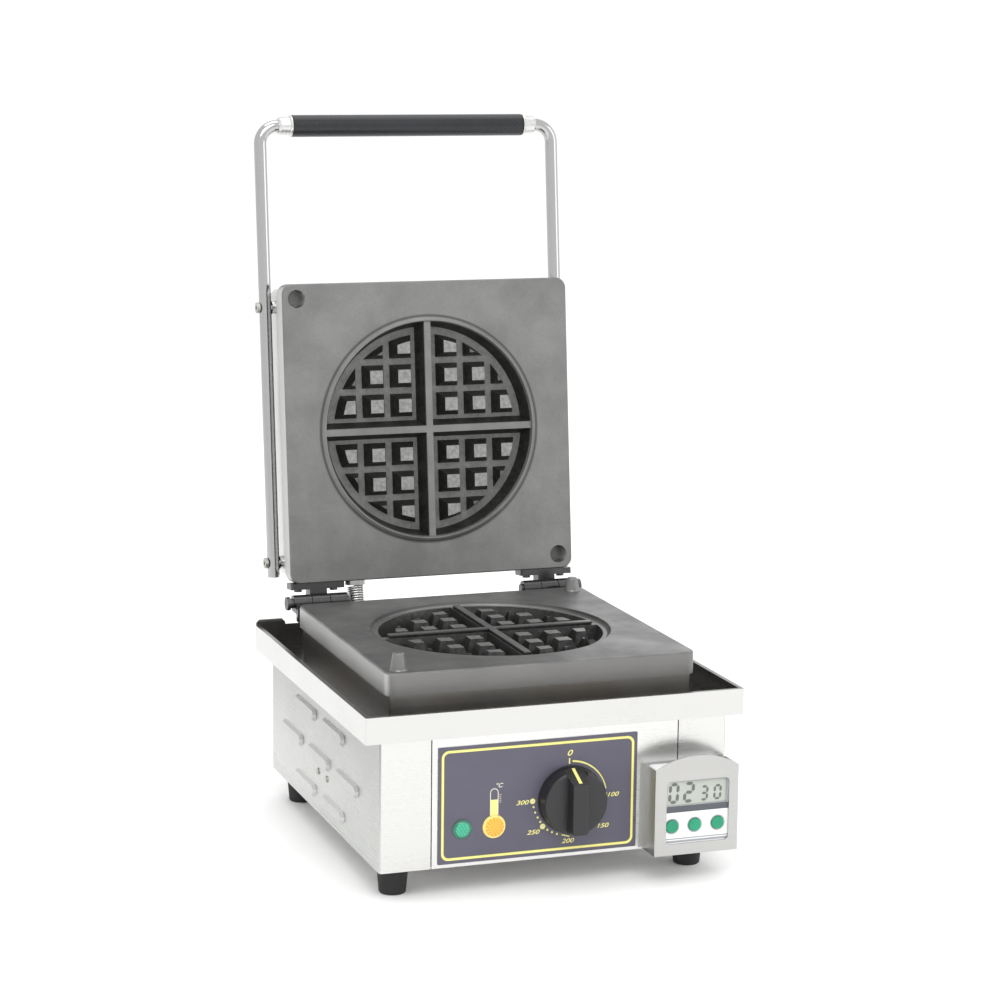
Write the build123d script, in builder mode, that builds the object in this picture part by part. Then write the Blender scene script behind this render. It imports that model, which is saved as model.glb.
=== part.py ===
from build123d import *
import math
import os

os.makedirs("parts", exist_ok=True)

# Round waffle maker, lid open.  Millimetres, +Z up, the front faces -Y, +X is
# to the right.  Everything is drawn about the point midway between the four
# feet; centred() then puts the origin under the middle of the whole object.

# ----------------------------------------------------------------- dimensions
MIDDLE_Y = 26.0                               # middle of the whole, behind the feet's
SHEET = 1.2                                   # stainless sheet thickness

BODY_W = 279.8                                # base casing, side to side
BODY_Y0, BODY_Y1 = -154.8, 150.6              # front and rear faces
BODY_Z0, BODY_Z1 = 24.0, 125.4                # underside and top of the casing
SEAM_X = 99.6                                 # front seams, either side

TRAY_W = 305.0                                # drip tray over its rim
TRAY_Y0, TRAY_Y1 = -160.0, 157.0
TRAY_Z0, TRAY_Z1 = 125.4, 145.8
TRAY_HEM = 3.8                                # rolled rim, width
TRAY_EAR_Z = 150.8                            # raised rear corners
TRAY_LOW_Z = 134.2                            # low rear wall between them

FOOT_X, FOOT_Y = 121.0, 127.0                 # foot centres
FOOT_R0, FOOT_R1 = 10.4, 12.6                 # foot radius, bottom and top

PLATE_W, PLATE_D, PLATE_T = 251.5, 250.0, 17.5    # both cast plates
PLATE_Y0, PLATE_Y1 = -127.5, 122.5            # lower plate, front and rear
LOW_TOP = 169.4                               # cooking face of the lower plate
LOW_BOT = LOW_TOP - PLATE_T
BOSS_R, BOSS_T = 100.0, 8.0                   # thickening behind the mould
PLATE_CY = (PLATE_Y0 + PLATE_Y1) / 2

MOULD_R = 91.0                                # mould edge at the face
MOULD_DEPTH = 14.0
MOULD_DRAFT = 18.0                            # wall draft, degrees
BAR_W = 5.6                                   # cross bar at the face
PEG_START, PEG_PITCH, PEG_SIZE = 10.8, 24.7, 19.4
PEG_CLIP_R = 80.3
PEG_H, PEG_DRAFT = 12.0, 19.0
RIDGE_H = 2.5                                 # raised ring round the upper mould
PIN_X, PIN_EDGE = 113.3, 12.4                 # locating pins from centre and edge

PIV_Y, PIV_Z = 138.0, 167.0                   # lid hinge axis, along X
ARM = 15.5                                    # axis to the edge of the upper plate
FACE_H = 2.65                                 # axis to the face of the upper plate
LEAN = 6.27                                   # open lid, degrees past vertical
HINGE_X, KNUCKLE_W, KNUCKLE_R = 102.0, 15.2, 6.75
PIN_R, PIN_FIT = 4.0, 0.05                    # hinge pin and its running clearance

CASE_W, CASE_D = 244.0, 243.0                 # lid casing behind the upper plate
CASE_N0, CASE_N1 = 17.5, 56.0
ROD_R = 5.2                                   # handle rod
ROD_X, ROD_N = 130.0, 38.9                    # legs from centre, behind the face
ROD_S0, ROD_S1 = 3.0, 382.3                   # cut ends, bar
ROD_BEND = 15.0
GRIP_R, GRIP_X = 9.2, 102.8

DIAL_X, DIAL_Z = 11.2, 69.3                   # thermostat axis
KNOB_R, KNOB_H, KNOB_GRIP = 25.6, 14.0, 24.0

LABEL_X0, LABEL_X1, LABEL_Z0, LABEL_Z1 = -94.5, 65.6, 26.8, 117.4
LABEL_T = 0.8
GREEN_X, GREEN_Z = -75.4, 53.2
ORANGE_X, ORANGE_Z = -49.9, 53.0

TIMER_X0, TIMER_X1, TIMER_Z0, TIMER_Z1 = 71.6, 140.4, 24.2, 91.8
TIMER_ARCH = 101.6
TIMER_OFF = 24.0                              # holder front to the panel
WIN_X0, WIN_X1, WIN_Z0, WIN_Z1 = 81.0, 132.8, 32.8, 82.4
BUTTON_X = (86.4, 105.2, 124.2)
BUTTON_Z, BUTTON_R = 46.7, 5.0

CONDUIT_X, CONDUIT_R = -67.5, 7.3

T = math.radians(LEAN)
# face of the open upper plate: local x = +X, local y = up the plate,
# local z = out of the cooking face
LID_Y = PIV_Y + ARM * math.sin(T) + FACE_H * math.cos(T)
LID_Z = PIV_Z + ARM * math.cos(T) - FACE_H * math.sin(T)
LID = Plane(origin=(0, LID_Y, LID_Z), x_dir=(1, 0, 0), z_dir=(0, -math.cos(T), math.sin(T)))
LID_MID = PLATE_D / 2


def centred(part):
    """The part in the object's own frame, with its label."""
    out = part.moved(Location((0, -MIDDLE_Y, 0)))
    out.label = part.label
    return out


def lid_point(x, s, n):
    """A point s up the open plate and n behind its cooking face."""
    v = LID.origin + LID.x_dir * x + LID.y_dir * s - LID.z_dir * n
    return (v.X, v.Y, v.Z)


def lid_plane(s, n, z_dir, x=0.0):
    """A plane of the lid whose normal is along the lid's own x, y or z."""
    d = {"x": LID.x_dir, "y": LID.y_dir, "z": LID.z_dir, "-y": LID.y_dir * -1}[z_dir]
    xd = LID.x_dir if z_dir != "x" else LID.y_dir
    return Plane(origin=lid_point(x, s, n), x_dir=xd, z_dir=d)


def mould_sketch(plane):
    """The four quarter openings of the mould, at the cooking face."""
    with BuildSketch(plane) as sk:
        Circle(MOULD_R)
        Rectangle(BAR_W, 4 * MOULD_R, mode=Mode.SUBTRACT)
        Rectangle(4 * MOULD_R, BAR_W, mode=Mode.SUBTRACT)
    return sk.sketch


def peg_sketch(plane, small):
    """The pegs on the floor of the mould: whole and clipped ones, or the
    eight small corner ones beside the circle."""
    with BuildSketch(plane) as sk:
        for sx in (-1, 1):
            for sy in (-1, 1):
                for i in range(3):
                    for j in range(3):
                        if (i + j == 4) or ((i + j == 3) != small):
                            continue
                        cx = PEG_START + i * PEG_PITCH + PEG_SIZE / 2
                        cy = PEG_START + j * PEG_PITCH + PEG_SIZE / 2
                        with Locations((sx * cx, sy * cy)):
                            Rectangle(PEG_SIZE, PEG_SIZE)
        Circle(PEG_CLIP_R, mode=Mode.INTERSECT)
    return sk.sketch


# ================================================================ base casing
def casing_sketch(side):
    """Outline of one side panel: the side, wrapped round both corners."""
    w = BODY_W / 2 - SEAM_X
    length = BODY_Y1 - BODY_Y0
    yc = (BODY_Y0 + BODY_Y1) / 2
    with BuildSketch(Plane.XY.offset(BODY_Z0)) as sk:
        with Locations((side * (SEAM_X + w / 2 + 0.15), yc)):
            Rectangle(w - 0.3, length)
        outer = sk.vertices().group_by(Axis.X)[-1 if side > 0 else 0]
        fillet(outer, 2.4)
        with Locations((side * (SEAM_X + w / 2 - SHEET), yc)):
            Rectangle(w, length - 2 * SHEET, mode=Mode.SUBTRACT)
    return sk.sketch


def shadow_gap():
    """A step round the top of the casing, which shows as a dark line under
    the tray."""
    yc = (BODY_Y0 + BODY_Y1) / 2
    with BuildSketch(Plane.XY.offset(BODY_Z1 - 1.0)) as sk:
        with Locations((0, yc)):
            Rectangle(BODY_W + 20, BODY_Y1 - BODY_Y0 + 20)
            Rectangle(BODY_W - 1.5, BODY_Y1 - BODY_Y0 - 1.5, mode=Mode.SUBTRACT)
    return sk.sketch


LOUVRES = [(y, z) for z in (102.0, 39.5) for y in (-33.0, 46.0)] + [(y, 71.0) for y in (-71.0, 7.0, 85.0)]


def louvre_sketch(side, x, length, height):
    with BuildSketch(Plane(origin=(side * x, 0, 0), x_dir=(0, side, 0), z_dir=(side, 0, 0))) as sk:
        with Locations(*[(side * y, z) for y, z in LOUVRES]):
            SlotOverall(length, height)
    return sk.sketch


with BuildPart() as side_panel_left:
    extrude(casing_sketch(-1), amount=BODY_Z1 - BODY_Z0)
    with BuildSketch(Plane.XY.offset(BODY_Z1 - SHEET)):
        with Locations((-(BODY_W / 2 - 8), 0)):
            Rectangle(14, 270)
    extrude(amount=SHEET)
    extrude(louvre_sketch(-1, BODY_W / 2, 58, 11.0), amount=2.4, taper=38)
    extrude(louvre_sketch(-1, BODY_W / 2 - SHEET - 0.05, 56, 8.6), amount=2.2, taper=38, mode=Mode.SUBTRACT)
    with BuildSketch(Plane(origin=(-BODY_W / 2 - 1, 0, 0), x_dir=(0, 1, 0), z_dir=(1, 0, 0))):
        with Locations((10.2, 58.5), (-14.0, 58.5)):
            Circle(1.7)
    extrude(amount=4, mode=Mode.SUBTRACT)
    extrude(shadow_gap(), amount=2, mode=Mode.SUBTRACT)
side_panel_left.part.label = "side_panel_left"
export_step(centred(side_panel_left.part), "parts/side_panel_left.step")

with BuildPart() as side_panel_right:
    extrude(casing_sketch(1), amount=BODY_Z1 - BODY_Z0)
    with BuildSketch(Plane.XY.offset(BODY_Z1 - SHEET)):
        with Locations((BODY_W / 2 - 8, 0)):
            Rectangle(14, 270)
    extrude(amount=SHEET)
    extrude(louvre_sketch(1, BODY_W / 2, 58, 11.0), amount=2.4, taper=38)
    extrude(louvre_sketch(1, BODY_W / 2 - SHEET - 0.05, 56, 8.6), amount=2.2, taper=38, mode=Mode.SUBTRACT)
    with BuildSketch(Plane(origin=(BODY_W / 2 - 3, 0, 0), x_dir=(0, 1, 0), z_dir=(1, 0, 0))):
        with Locations((10.2, 58.5), (-14.0, 58.5)):
            Circle(1.7)
    extrude(amount=4, mode=Mode.SUBTRACT)
    extrude(shadow_gap(), amount=2, mode=Mode.SUBTRACT)
side_panel_right.part.label = "side_panel_right"
export_step(centred(side_panel_right.part), "parts/side_panel_right.step")

with BuildPart() as front_panel:
    with BuildSketch(Plane(origin=(0, BODY_Y0, 0), x_dir=(1, 0, 0), z_dir=(0, 1, 0))) as _front:
        with Locations((0, -(BODY_Z0 + BODY_Z1) / 2)):
            Rectangle(2 * SEAM_X - 1.1, BODY_Z1 - BODY_Z0)
        with Locations((DIAL_X, -DIAL_Z)):
            Circle(5.0, mode=Mode.SUBTRACT)
        with Locations((GREEN_X, -GREEN_Z), (ORANGE_X, -ORANGE_Z)):
            Circle(6.0, mode=Mode.SUBTRACT)
    extrude(amount=SHEET)
    # joggled flanges behind the seams and along the top
    with BuildSketch(Plane.XY.offset(BODY_Z1 - SHEET)):
        with Locations((0, BODY_Y0 + 7)):
            Rectangle(2 * SEAM_X - 6, 14)
    extrude(amount=SHEET)
    extrude(shadow_gap(), amount=2, mode=Mode.SUBTRACT)
front_panel.part.label = "front_panel"
export_step(centred(front_panel.part), "parts/front_panel.step")

GLAND_X, GLAND_Z = -78.0, 50.0
with BuildPart() as rear_panel:
    with BuildSketch(Plane(origin=(0, BODY_Y1, 0), x_dir=(1, 0, 0), z_dir=(0, -1, 0))):
        with Locations((0, (BODY_Z0 + BODY_Z1) / 2)):
            Rectangle(2 * SEAM_X - 0.3, BODY_Z1 - BODY_Z0)
        with Locations((GLAND_X, GLAND_Z)):
            Circle(8.2, mode=Mode.SUBTRACT)
        with Locations((30, 74)):
            with GridLocations(20, 13, 6, 4):
                SlotOverall(15, 3.6, mode=Mode.SUBTRACT)
    extrude(amount=SHEET)
rear_panel.part.label = "rear_panel"
export_step(centred(rear_panel.part), "parts/rear_panel.step")

with BuildPart() as bottom_plate:
    with BuildSketch(Plane.XY.offset(BODY_Z0)):
        with Locations((0, (BODY_Y0 + BODY_Y1) / 2)):
            Rectangle(BODY_W - 2 * SHEET - 0.4, BODY_Y1 - BODY_Y0 - 2 * SHEET - 0.4)
        with GridLocations(2 * FOOT_X, 2 * FOOT_Y, 2, 2):
            Circle(2.6, mode=Mode.SUBTRACT)
        with GridLocations(34, 15, 6, 9):
            SlotOverall(24, 4, mode=Mode.SUBTRACT)
    extrude(amount=SHEET)
bottom_plate.part.label = "bottom_plate"
export_step(centred(bottom_plate.part), "parts/bottom_plate.step")

with BuildPart() as rubber_feet:
    with BuildSketch(Plane.XZ) as _foot:
        with BuildLine():
            Polyline((2.4, BODY_Z0), (2.4, 11), (5.4, 11), (5.4, 0), (FOOT_R0 - 1.0, 0),
                     (FOOT_R0, 1.0), (FOOT_R1, BODY_Z0), (2.4, BODY_Z0))
        make_face()
    with Locations(*[(sx * FOOT_X, sy * FOOT_Y, 0) for sx in (-1, 1) for sy in (-1, 1)]):
        add(revolve(_foot.sketch, axis=Axis.Z, mode=Mode.PRIVATE))
rubber_feet.part.label = "rubber_feet"
export_step(centred(rubber_feet.part), "parts/rubber_feet.step")

with BuildPart() as foot_screws:
    for sx in (-1, 1):
        for sy in (-1, 1):
            with BuildSketch(Plane(origin=(sx * FOOT_X, sy * FOOT_Y, 7.6))):
                Circle(4.6)
            extrude(amount=3.3)
            with BuildSketch(Plane(origin=(sx * FOOT_X, sy * FOOT_Y, 10.9))):
                Circle(2.2)
            extrude(amount=19)
            with BuildSketch(Plane(origin=(sx * FOOT_X, sy * FOOT_Y, BODY_Z0 + SHEET))):
                RegularPolygon(4.2, 6)
            extrude(amount=3.4)
foot_screws.part.label = "foot_screws"
export_step(centred(foot_screws.part), "parts/foot_screws.step")

with BuildPart() as panel_screws:
    for side in (-1, 1):
        for y in (10.2, -14.0):
            with BuildSketch(Plane(origin=(side * (BODY_W / 2 + 0.9), y, 58.5), x_dir=(0, 1, 0), z_dir=(-side, 0, 0))):
                Circle(2.6)
            extrude(amount=0.9)
            with BuildSketch(Plane(origin=(side * BODY_W / 2, y, 58.5), x_dir=(0, 1, 0), z_dir=(-side, 0, 0))):
                Circle(1.6)
            extrude(amount=9)
panel_screws.part.label = "panel_screws"
export_step(centred(panel_screws.part), "parts/panel_screws.step")

# =================================================================== drip tray
LEG_X, LEG_Y = 24.0, -68.0                    # heater leads through the tray
CAP_X, CAP_Y = 62.0, -112.0                   # capillary tube through the tray
CONDUIT_Y0 = 138.8
TRAY_YC, TRAY_L = (TRAY_Y0 + TRAY_Y1) / 2, TRAY_Y1 - TRAY_Y0
with BuildPart() as drip_tray:
    # floor and the four walls
    with BuildSketch(Plane.XY.offset(TRAY_Z0)):
        with Locations((0, TRAY_YC)):
            RectangleRounded(TRAY_W, TRAY_L, 2.0)
    extrude(amount=TRAY_Z1 - TRAY_Z0)
    with BuildSketch(Plane.XY.offset(TRAY_Z0 + SHEET)):
        with Locations((0, TRAY_YC)):
            RectangleRounded(TRAY_W - 2 * SHEET, TRAY_L - 2 * SHEET, 1.2)
    extrude(amount=40, mode=Mode.SUBTRACT)
    # rolled rim along the front and the two sides
    with BuildSketch(Plane.XY.offset(TRAY_Z1 - 5.0)):
        with Locations((0, TRAY_YC)):
            RectangleRounded(TRAY_W - 0.2, TRAY_L - 0.2, 1.9)
        with Locations((0, TRAY_YC + 20)):
            Rectangle(TRAY_W - 2 * TRAY_HEM, TRAY_L + 40 - 2 * TRAY_HEM, mode=Mode.SUBTRACT)
    extrude(amount=5.0)
    # rear wall: low in the middle, raised at the corners
    with BuildSketch(Plane(origin=(0, TRAY_Y1, 0), x_dir=(1, 0, 0), z_dir=(0, -1, 0))):
        with Locations((0, TRAY_LOW_Z + 20)):
            Rectangle(2 * 111.0, 40)
    extrude(amount=6, mode=Mode.SUBTRACT)
    for side in (-1, 1):
        with BuildSketch(Plane(origin=(0, TRAY_Y1, 0), x_dir=(1, 0, 0), z_dir=(0, -1, 0))):
            with BuildLine():
                Polyline((side * 111.0, TRAY_LOW_Z), (side * 127.0, TRAY_Z1 - 4), (side * 127.0, TRAY_EAR_Z - 3),
                         (side * 130.0, TRAY_EAR_Z), (side * 149.5, TRAY_EAR_Z), (side * 152.4, TRAY_EAR_Z - 3),
                         (side * 152.4, TRAY_Z0 + 2), (side * 111.0, TRAY_Z0 + 2), (side * 111.0, TRAY_LOW_Z))
            make_face()
        extrude(amount=SHEET)
    # cut-outs in the floor: heater leads, capillary, conduit
    with BuildSketch(Plane.XY.offset(TRAY_Z0 - 1)):
        with Locations((LEG_X, LEG_Y), (-LEG_X, LEG_Y)):
            Circle(6.0)
        with Locations((CAP_X, CAP_Y)):
            Circle(3.0)
        with Locations((CONDUIT_X, CONDUIT_Y0 + 0.9)):
            Circle(8.6)
    extrude(amount=4, mode=Mode.SUBTRACT)
drip_tray.part.label = "drip_tray"
export_step(centred(drip_tray.part), "parts/drip_tray.step")

SKIRT_W, SKIRT_Y0, SKIRT_Y1 = 245.0, -124.0, 118.8
SKIRT_Z0 = TRAY_Z0 + SHEET
with BuildPart() as heater_skirt:
    with BuildSketch(Plane.XY.offset(SKIRT_Z0)):
        with Locations((0, (SKIRT_Y0 + SKIRT_Y1) / 2)):
            RectangleRounded(SKIRT_W, SKIRT_Y1 - SKIRT_Y0, 3.0)
            RectangleRounded(SKIRT_W - 2 * SHEET, SKIRT_Y1 - SKIRT_Y0 - 2 * SHEET, 1.9, mode=Mode.SUBTRACT)
    extrude(amount=LOW_BOT - SKIRT_Z0)
heater_skirt.part.label = "heater_skirt"
export_step(centred(heater_skirt.part), "parts/heater_skirt.step")

# ================================================================= cast plates
LOW_FACE = Plane(origin=(0, PLATE_CY, LOW_TOP))
with BuildPart() as lower_plate:
    with BuildSketch(Plane(origin=(0, PLATE_CY, LOW_BOT))):
        RectangleRounded(PLATE_W, PLATE_D, 9.0)
    extrude(amount=PLATE_T)
    top_edges = lower_plate.edges().group_by(Axis.Z)[-1]
    chamfer(top_edges, 1.0)
    with BuildSketch(Plane(origin=(0, PLATE_CY, LOW_BOT - BOSS_T))):
        Circle(BOSS_R)
    extrude(amount=BOSS_T)
    # ring groove that takes the raised ring of the upper plate
    with BuildSketch(Plane(origin=(0, PLATE_CY, LOW_TOP), x_dir=(1, 0, 0), z_dir=(0, -1, 0))):
        with BuildLine():
            Polyline((86, 1), (97.4, 1), (96.5, 0), (93.6, -3.0), (86, -3.0), (86, 1))
        make_face()
    revolve(axis=Axis((0, PLATE_CY, 0), (0, 0, 1)), mode=Mode.SUBTRACT)
    # quarter moulds
    with BuildSketch(Plane(origin=(0, PLATE_CY, LOW_TOP - 3.0))):
        Circle(90.9)
        Rectangle(BAR_W, 4 * MOULD_R, mode=Mode.SUBTRACT)
        Rectangle(4 * MOULD_R, BAR_W, mode=Mode.SUBTRACT)
    extrude(amount=3.0 - 0.0, mode=Mode.SUBTRACT)
    extrude(mould_sketch(Plane(origin=(0, PLATE_CY, LOW_TOP - 0.9), x_dir=(1, 0, 0), z_dir=(0, 0, -1))),
            amount=MOULD_DEPTH - 0.9, taper=MOULD_DRAFT, mode=Mode.SUBTRACT)
    extrude(peg_sketch(Plane(origin=(0, PLATE_CY, LOW_TOP - MOULD_DEPTH)), False), amount=PEG_H, taper=PEG_DRAFT)
    extrude(peg_sketch(Plane(origin=(0, PLATE_CY, LOW_TOP - MOULD_DEPTH)), True), amount=PEG_H - 2, taper=18)
    # sockets of the locating pins
    with BuildSketch(LOW_FACE):
        with Locations((-PIN_X, -PLATE_D / 2 + PIN_EDGE), (PIN_X, PLATE_D / 2 - PIN_EDGE)):
            Circle(4.0)
    extrude(amount=-10, mode=Mode.SUBTRACT)
lower_plate.part.label = "lower_plate"
export_step(centred(lower_plate.part), "parts/lower_plate.step")

with BuildPart() as locating_pins:
    for x, y, h in ((-PIN_X, PLATE_Y0 + PIN_EDGE, 13.4), (PIN_X, PLATE_Y1 - PIN_EDGE, 11.0)):
        with BuildSketch(Plane(origin=(x, y, LOW_TOP - 9.8))):
            Circle(3.95)
        extrude(amount=10)
        with BuildSketch(Plane(origin=(x, y, LOW_TOP), x_dir=(1, 0, 0), z_dir=(0, -1, 0))):
            with BuildLine():
                Polyline((0, 0), (6.9, 0), (6.3, 1.1), (4.5, h - 1.0), (3.6, h), (0, h), (0, 0))
            make_face()
        revolve(axis=Axis((x, y, 0), (0, 0, 1)))
locating_pins.part.label = "locating_pins"
export_step(centred(locating_pins.part), "parts/locating_pins.step")

UP_FACE = Plane(origin=lid_point(0, LID_MID, 0), x_dir=LID.x_dir, z_dir=LID.z_dir)
UP_INTO = Plane(origin=lid_point(0, LID_MID, 0), x_dir=LID.x_dir, z_dir=LID.z_dir * -1)
with BuildPart() as upper_plate:
    with BuildSketch(UP_FACE.offset(-PLATE_T)):
        RectangleRounded(PLATE_W, PLATE_D, 9.0)
    extrude(amount=PLATE_T)
    face_edges = upper_plate.faces().sort_by(Axis(lid_point(0, 0, 0), LID.z_dir))[-1].edges()
    chamfer(face_edges, 1.0)
    with BuildSketch(UP_FACE.offset(-PLATE_T - BOSS_T)):
        Circle(BOSS_R)
    extrude(amount=BOSS_T)
    with BuildSketch(Plane(origin=UP_FACE.origin, x_dir=LID.x_dir, z_dir=LID.y_dir * -1)):
        with BuildLine():
            Polyline((MOULD_R - 3, -1), (95.6, -1), (95.6, 0), (92.6, RIDGE_H), (MOULD_R + 0.6, RIDGE_H),
                     (MOULD_R - 0.2, 0), (MOULD_R - 3, 0), (MOULD_R - 3, -1))
        make_face()
    revolve(axis=Axis(UP_FACE.origin, LID.z_dir))
    extrude(mould_sketch(UP_INTO), amount=MOULD_DEPTH, taper=MOULD_DRAFT, mode=Mode.SUBTRACT)
    extrude(peg_sketch(UP_FACE.offset(-MOULD_DEPTH), False), amount=PEG_H, taper=PEG_DRAFT)
    extrude(peg_sketch(UP_FACE.offset(-MOULD_DEPTH), True), amount=PEG_H - 2, taper=18)
    # recesses for the locating pins, with a raised disc at the bottom
    with BuildSketch(UP_FACE):
        with Locations((-PIN_X, PLATE_D / 2 - PIN_EDGE), (PIN_X, -PLATE_D / 2 + PIN_EDGE)):
            Circle(7.5)
    extrude(amount=-15.0, mode=Mode.SUBTRACT)
    with BuildSketch(UP_FACE.offset(-15.0)):
        with Locations((-PIN_X, PLATE_D / 2 - PIN_EDGE), (PIN_X, -PLATE_D / 2 + PIN_EDGE)):
            Circle(5.0)
    extrude(amount=0.8)
upper_plate.part.label = "upper_plate"
export_step(centred(upper_plate.part), "parts/upper_plate.step")

# ============================================================ heating elements
with BuildPart() as lower_element:
    with BuildSketch(Plane(origin=(70, PLATE_CY, LOW_BOT - BOSS_T - 4.0), x_dir=(1, 0, 0), z_dir=(0, -1, 0))):
        Circle(4.0)
    revolve(axis=Axis((0, PLATE_CY, 0), (0, 0, 1)))
    with BuildSketch(Plane.XY.offset(96.0)):
        with Locations((LEG_X, LEG_Y), (-LEG_X, LEG_Y)):
            Circle(3.6)
    extrude(amount=LOW_BOT - BOSS_T - 4.0 - 96.0)
lower_element.part.label = "lower_element"
export_step(centred(lower_element.part), "parts/lower_element.step")

CLAMP_Z = LOW_BOT - BOSS_T - 8.0
with BuildPart() as lower_element_clamp:
    with BuildSketch(Plane.XY.offset(CLAMP_Z - 2.5)):
        with Locations((0, PLATE_CY)):
            SlotOverall(164, 18)
            Circle(3.2, mode=Mode.SUBTRACT)
    extrude(amount=2.5)
lower_element_clamp.part.label = "lower_element_clamp"
export_step(centred(lower_element_clamp.part), "parts/lower_element_clamp.step")

with BuildPart() as lower_clamp_stud:
    with BuildSketch(Plane.XY.offset(CLAMP_Z - 5.4)):
        with Locations((0, PLATE_CY)):
            Circle(3.0)
    extrude(amount=LOW_BOT - BOSS_T - (CLAMP_Z - 5.4))
    with BuildSketch(Plane.XY.offset(CLAMP_Z - 5.4)):
        with Locations((0, PLATE_CY)):
            RegularPolygon(5.4, 6)
    extrude(amount=2.9)
lower_clamp_stud.part.label = "lower_clamp_stud"
export_step(centred(lower_clamp_stud.part), "parts/lower_clamp_stud.step")

with BuildPart() as lower_insulation:
    with BuildSketch(Plane.XY.offset(SKIRT_Z0)):
        with Locations((0, (SKIRT_Y0 + SKIRT_Y1) / 2)):
            Rectangle(SKIRT_W - 5, SKIRT_Y1 - SKIRT_Y0 - 5)
        with Locations((LEG_X, LEG_Y), (-LEG_X, LEG_Y)):
            Circle(5.0, mode=Mode.SUBTRACT)
        with Locations((CAP_X, CAP_Y)):
            Circle(3.0, mode=Mode.SUBTRACT)
    extrude(amount=3.6)
lower_insulation.part.label = "lower_insulation"
export_step(centred(lower_insulation.part), "parts/lower_insulation.step")

EL_N = PLATE_T + BOSS_T + 4.0
with BuildPart() as upper_element:
    with BuildSketch(Plane(origin=lid_point(70, LID_MID, EL_N), x_dir=LID.x_dir, z_dir=LID.y_dir * -1)):
        Circle(4.0)
    revolve(axis=Axis(UP_FACE.origin, LID.z_dir))
    # both ends turn back through the insulation towards the connections
    with BuildSketch(UP_FACE.offset(-EL_N)):
        with Locations((18, -66), (-18, -66)):
            Circle(3.6)
    extrude(amount=-16)
upper_element.part.label = "upper_element"
export_step(centred(upper_element.part), "parts/upper_element.step")

with BuildPart() as upper_element_clamp:
    with BuildSketch(UP_FACE.offset(-EL_N - 4.0)):
        SlotOverall(164, 18)
        Circle(3.2, mode=Mode.SUBTRACT)
    extrude(amount=-2.5)
upper_element_clamp.part.label = "upper_element_clamp"
export_step(centred(upper_element_clamp.part), "parts/upper_element_clamp.step")

with BuildPart() as upper_clamp_stud:
    with BuildSketch(UP_FACE.offset(-PLATE_T - BOSS_T)):
        Circle(3.0)
    extrude(amount=-13.4)
    with BuildSketch(UP_FACE.offset(-EL_N - 6.5)):
        RegularPolygon(5.4, 6)
    extrude(amount=-2.9)
upper_clamp_stud.part.label = "upper_clamp_stud"
export_step(centred(upper_clamp_stud.part), "parts/upper_clamp_stud.step")

with BuildPart() as upper_insulation:
    with BuildSketch(UP_FACE.offset(-41.2)):
        Rectangle(CASE_W - 18, CASE_D - 18)
        with Locations((18, -66), (-18, -66)):
            Circle(5.0, mode=Mode.SUBTRACT)
    extrude(amount=-13.4)
upper_insulation.part.label = "upper_insulation"
export_step(centred(upper_insulation.part), "parts/upper_insulation.step")

# ================================================================== lid casing
with BuildPart() as lid_casing:
    with BuildSketch(UP_FACE.offset(-CASE_N1)):
        RectangleRounded(CASE_W, CASE_D, 8.0)
    extrude(amount=CASE_N1 - CASE_N0)
    back = lid_casing.faces().sort_by(Axis(lid_point(0, 0, 0), LID.z_dir))[0]
    fillet(back.edges(), 3.0)
    with BuildSketch(UP_FACE.offset(-CASE_N1 + SHEET)):
        RectangleRounded(CASE_W - 2 * SHEET, CASE_D - 2 * SHEET, 6.8)
    extrude(amount=60, mode=Mode.SUBTRACT)
    # screw holes for the handle, through both sides
    for s in (15.3, 230.8):
        with BuildSketch(lid_plane(s, ROD_N, "x", -200)):
            Circle(2.6)
        extrude(amount=400, mode=Mode.SUBTRACT)
    with BuildSketch(UP_FACE.offset(-CASE_N1 - 1)):
        with GridLocations(200, 200, 2, 2):
            Circle(2.2)
    extrude(amount=4, mode=Mode.SUBTRACT)
lid_casing.part.label = "lid_casing"
export_step(centred(lid_casing.part), "parts/lid_casing.step")

with BuildPart() as casing_screws:
    with BuildSketch(UP_FACE.offset(-CASE_N1)):
        with GridLocations(200, 200, 2, 2):
            Circle(4.0)
    extrude(amount=-2.0)
    with BuildSketch(UP_FACE.offset(-CASE_N1)):
        with GridLocations(200, 200, 2, 2):
            Circle(2.1)
    extrude(amount=1.2)
casing_screws.part.label = "casing_screws"
export_step(centred(casing_screws.part), "parts/casing_screws.step")

# ====================================================================== handle
with BuildPart() as handle_rod:
    with BuildLine(LID.offset(-ROD_N)):
        FilletPolyline((-ROD_X, ROD_S0), (-ROD_X, ROD_S1), (ROD_X, ROD_S1), (ROD_X, ROD_S0), radius=ROD_BEND)
    with BuildSketch(lid_plane(ROD_S0, ROD_N, "y", -ROD_X)):
        Circle(ROD_R)
    sweep()
    for s in (15.3, 230.8):
        with BuildSketch(lid_plane(s, ROD_N, "x", -200)):
            Circle(2.6)
        extrude(amount=400, mode=Mode.SUBTRACT)
handle_rod.part.label = "handle_rod"
export_step(centred(handle_rod.part), "parts/handle_rod.step")

with BuildPart() as handle_grip:
    with BuildSketch(lid_plane(ROD_S1, ROD_N, "z")):
        with BuildLine():
            Polyline((-GRIP_X, 5.3), (-GRIP_X, GRIP_R - 0.8), (-GRIP_X + 0.8, GRIP_R), (GRIP_X - 0.8, GRIP_R),
                     (GRIP_X, GRIP_R - 0.8), (GRIP_X, 5.3), (-GRIP_X, 5.3))
        make_face()
    revolve(axis=Axis(lid_point(0, ROD_S1, ROD_N), (1, 0, 0)))
handle_grip.part.label = "handle_grip"
export_step(centred(handle_grip.part), "parts/handle_grip.step")

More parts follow.
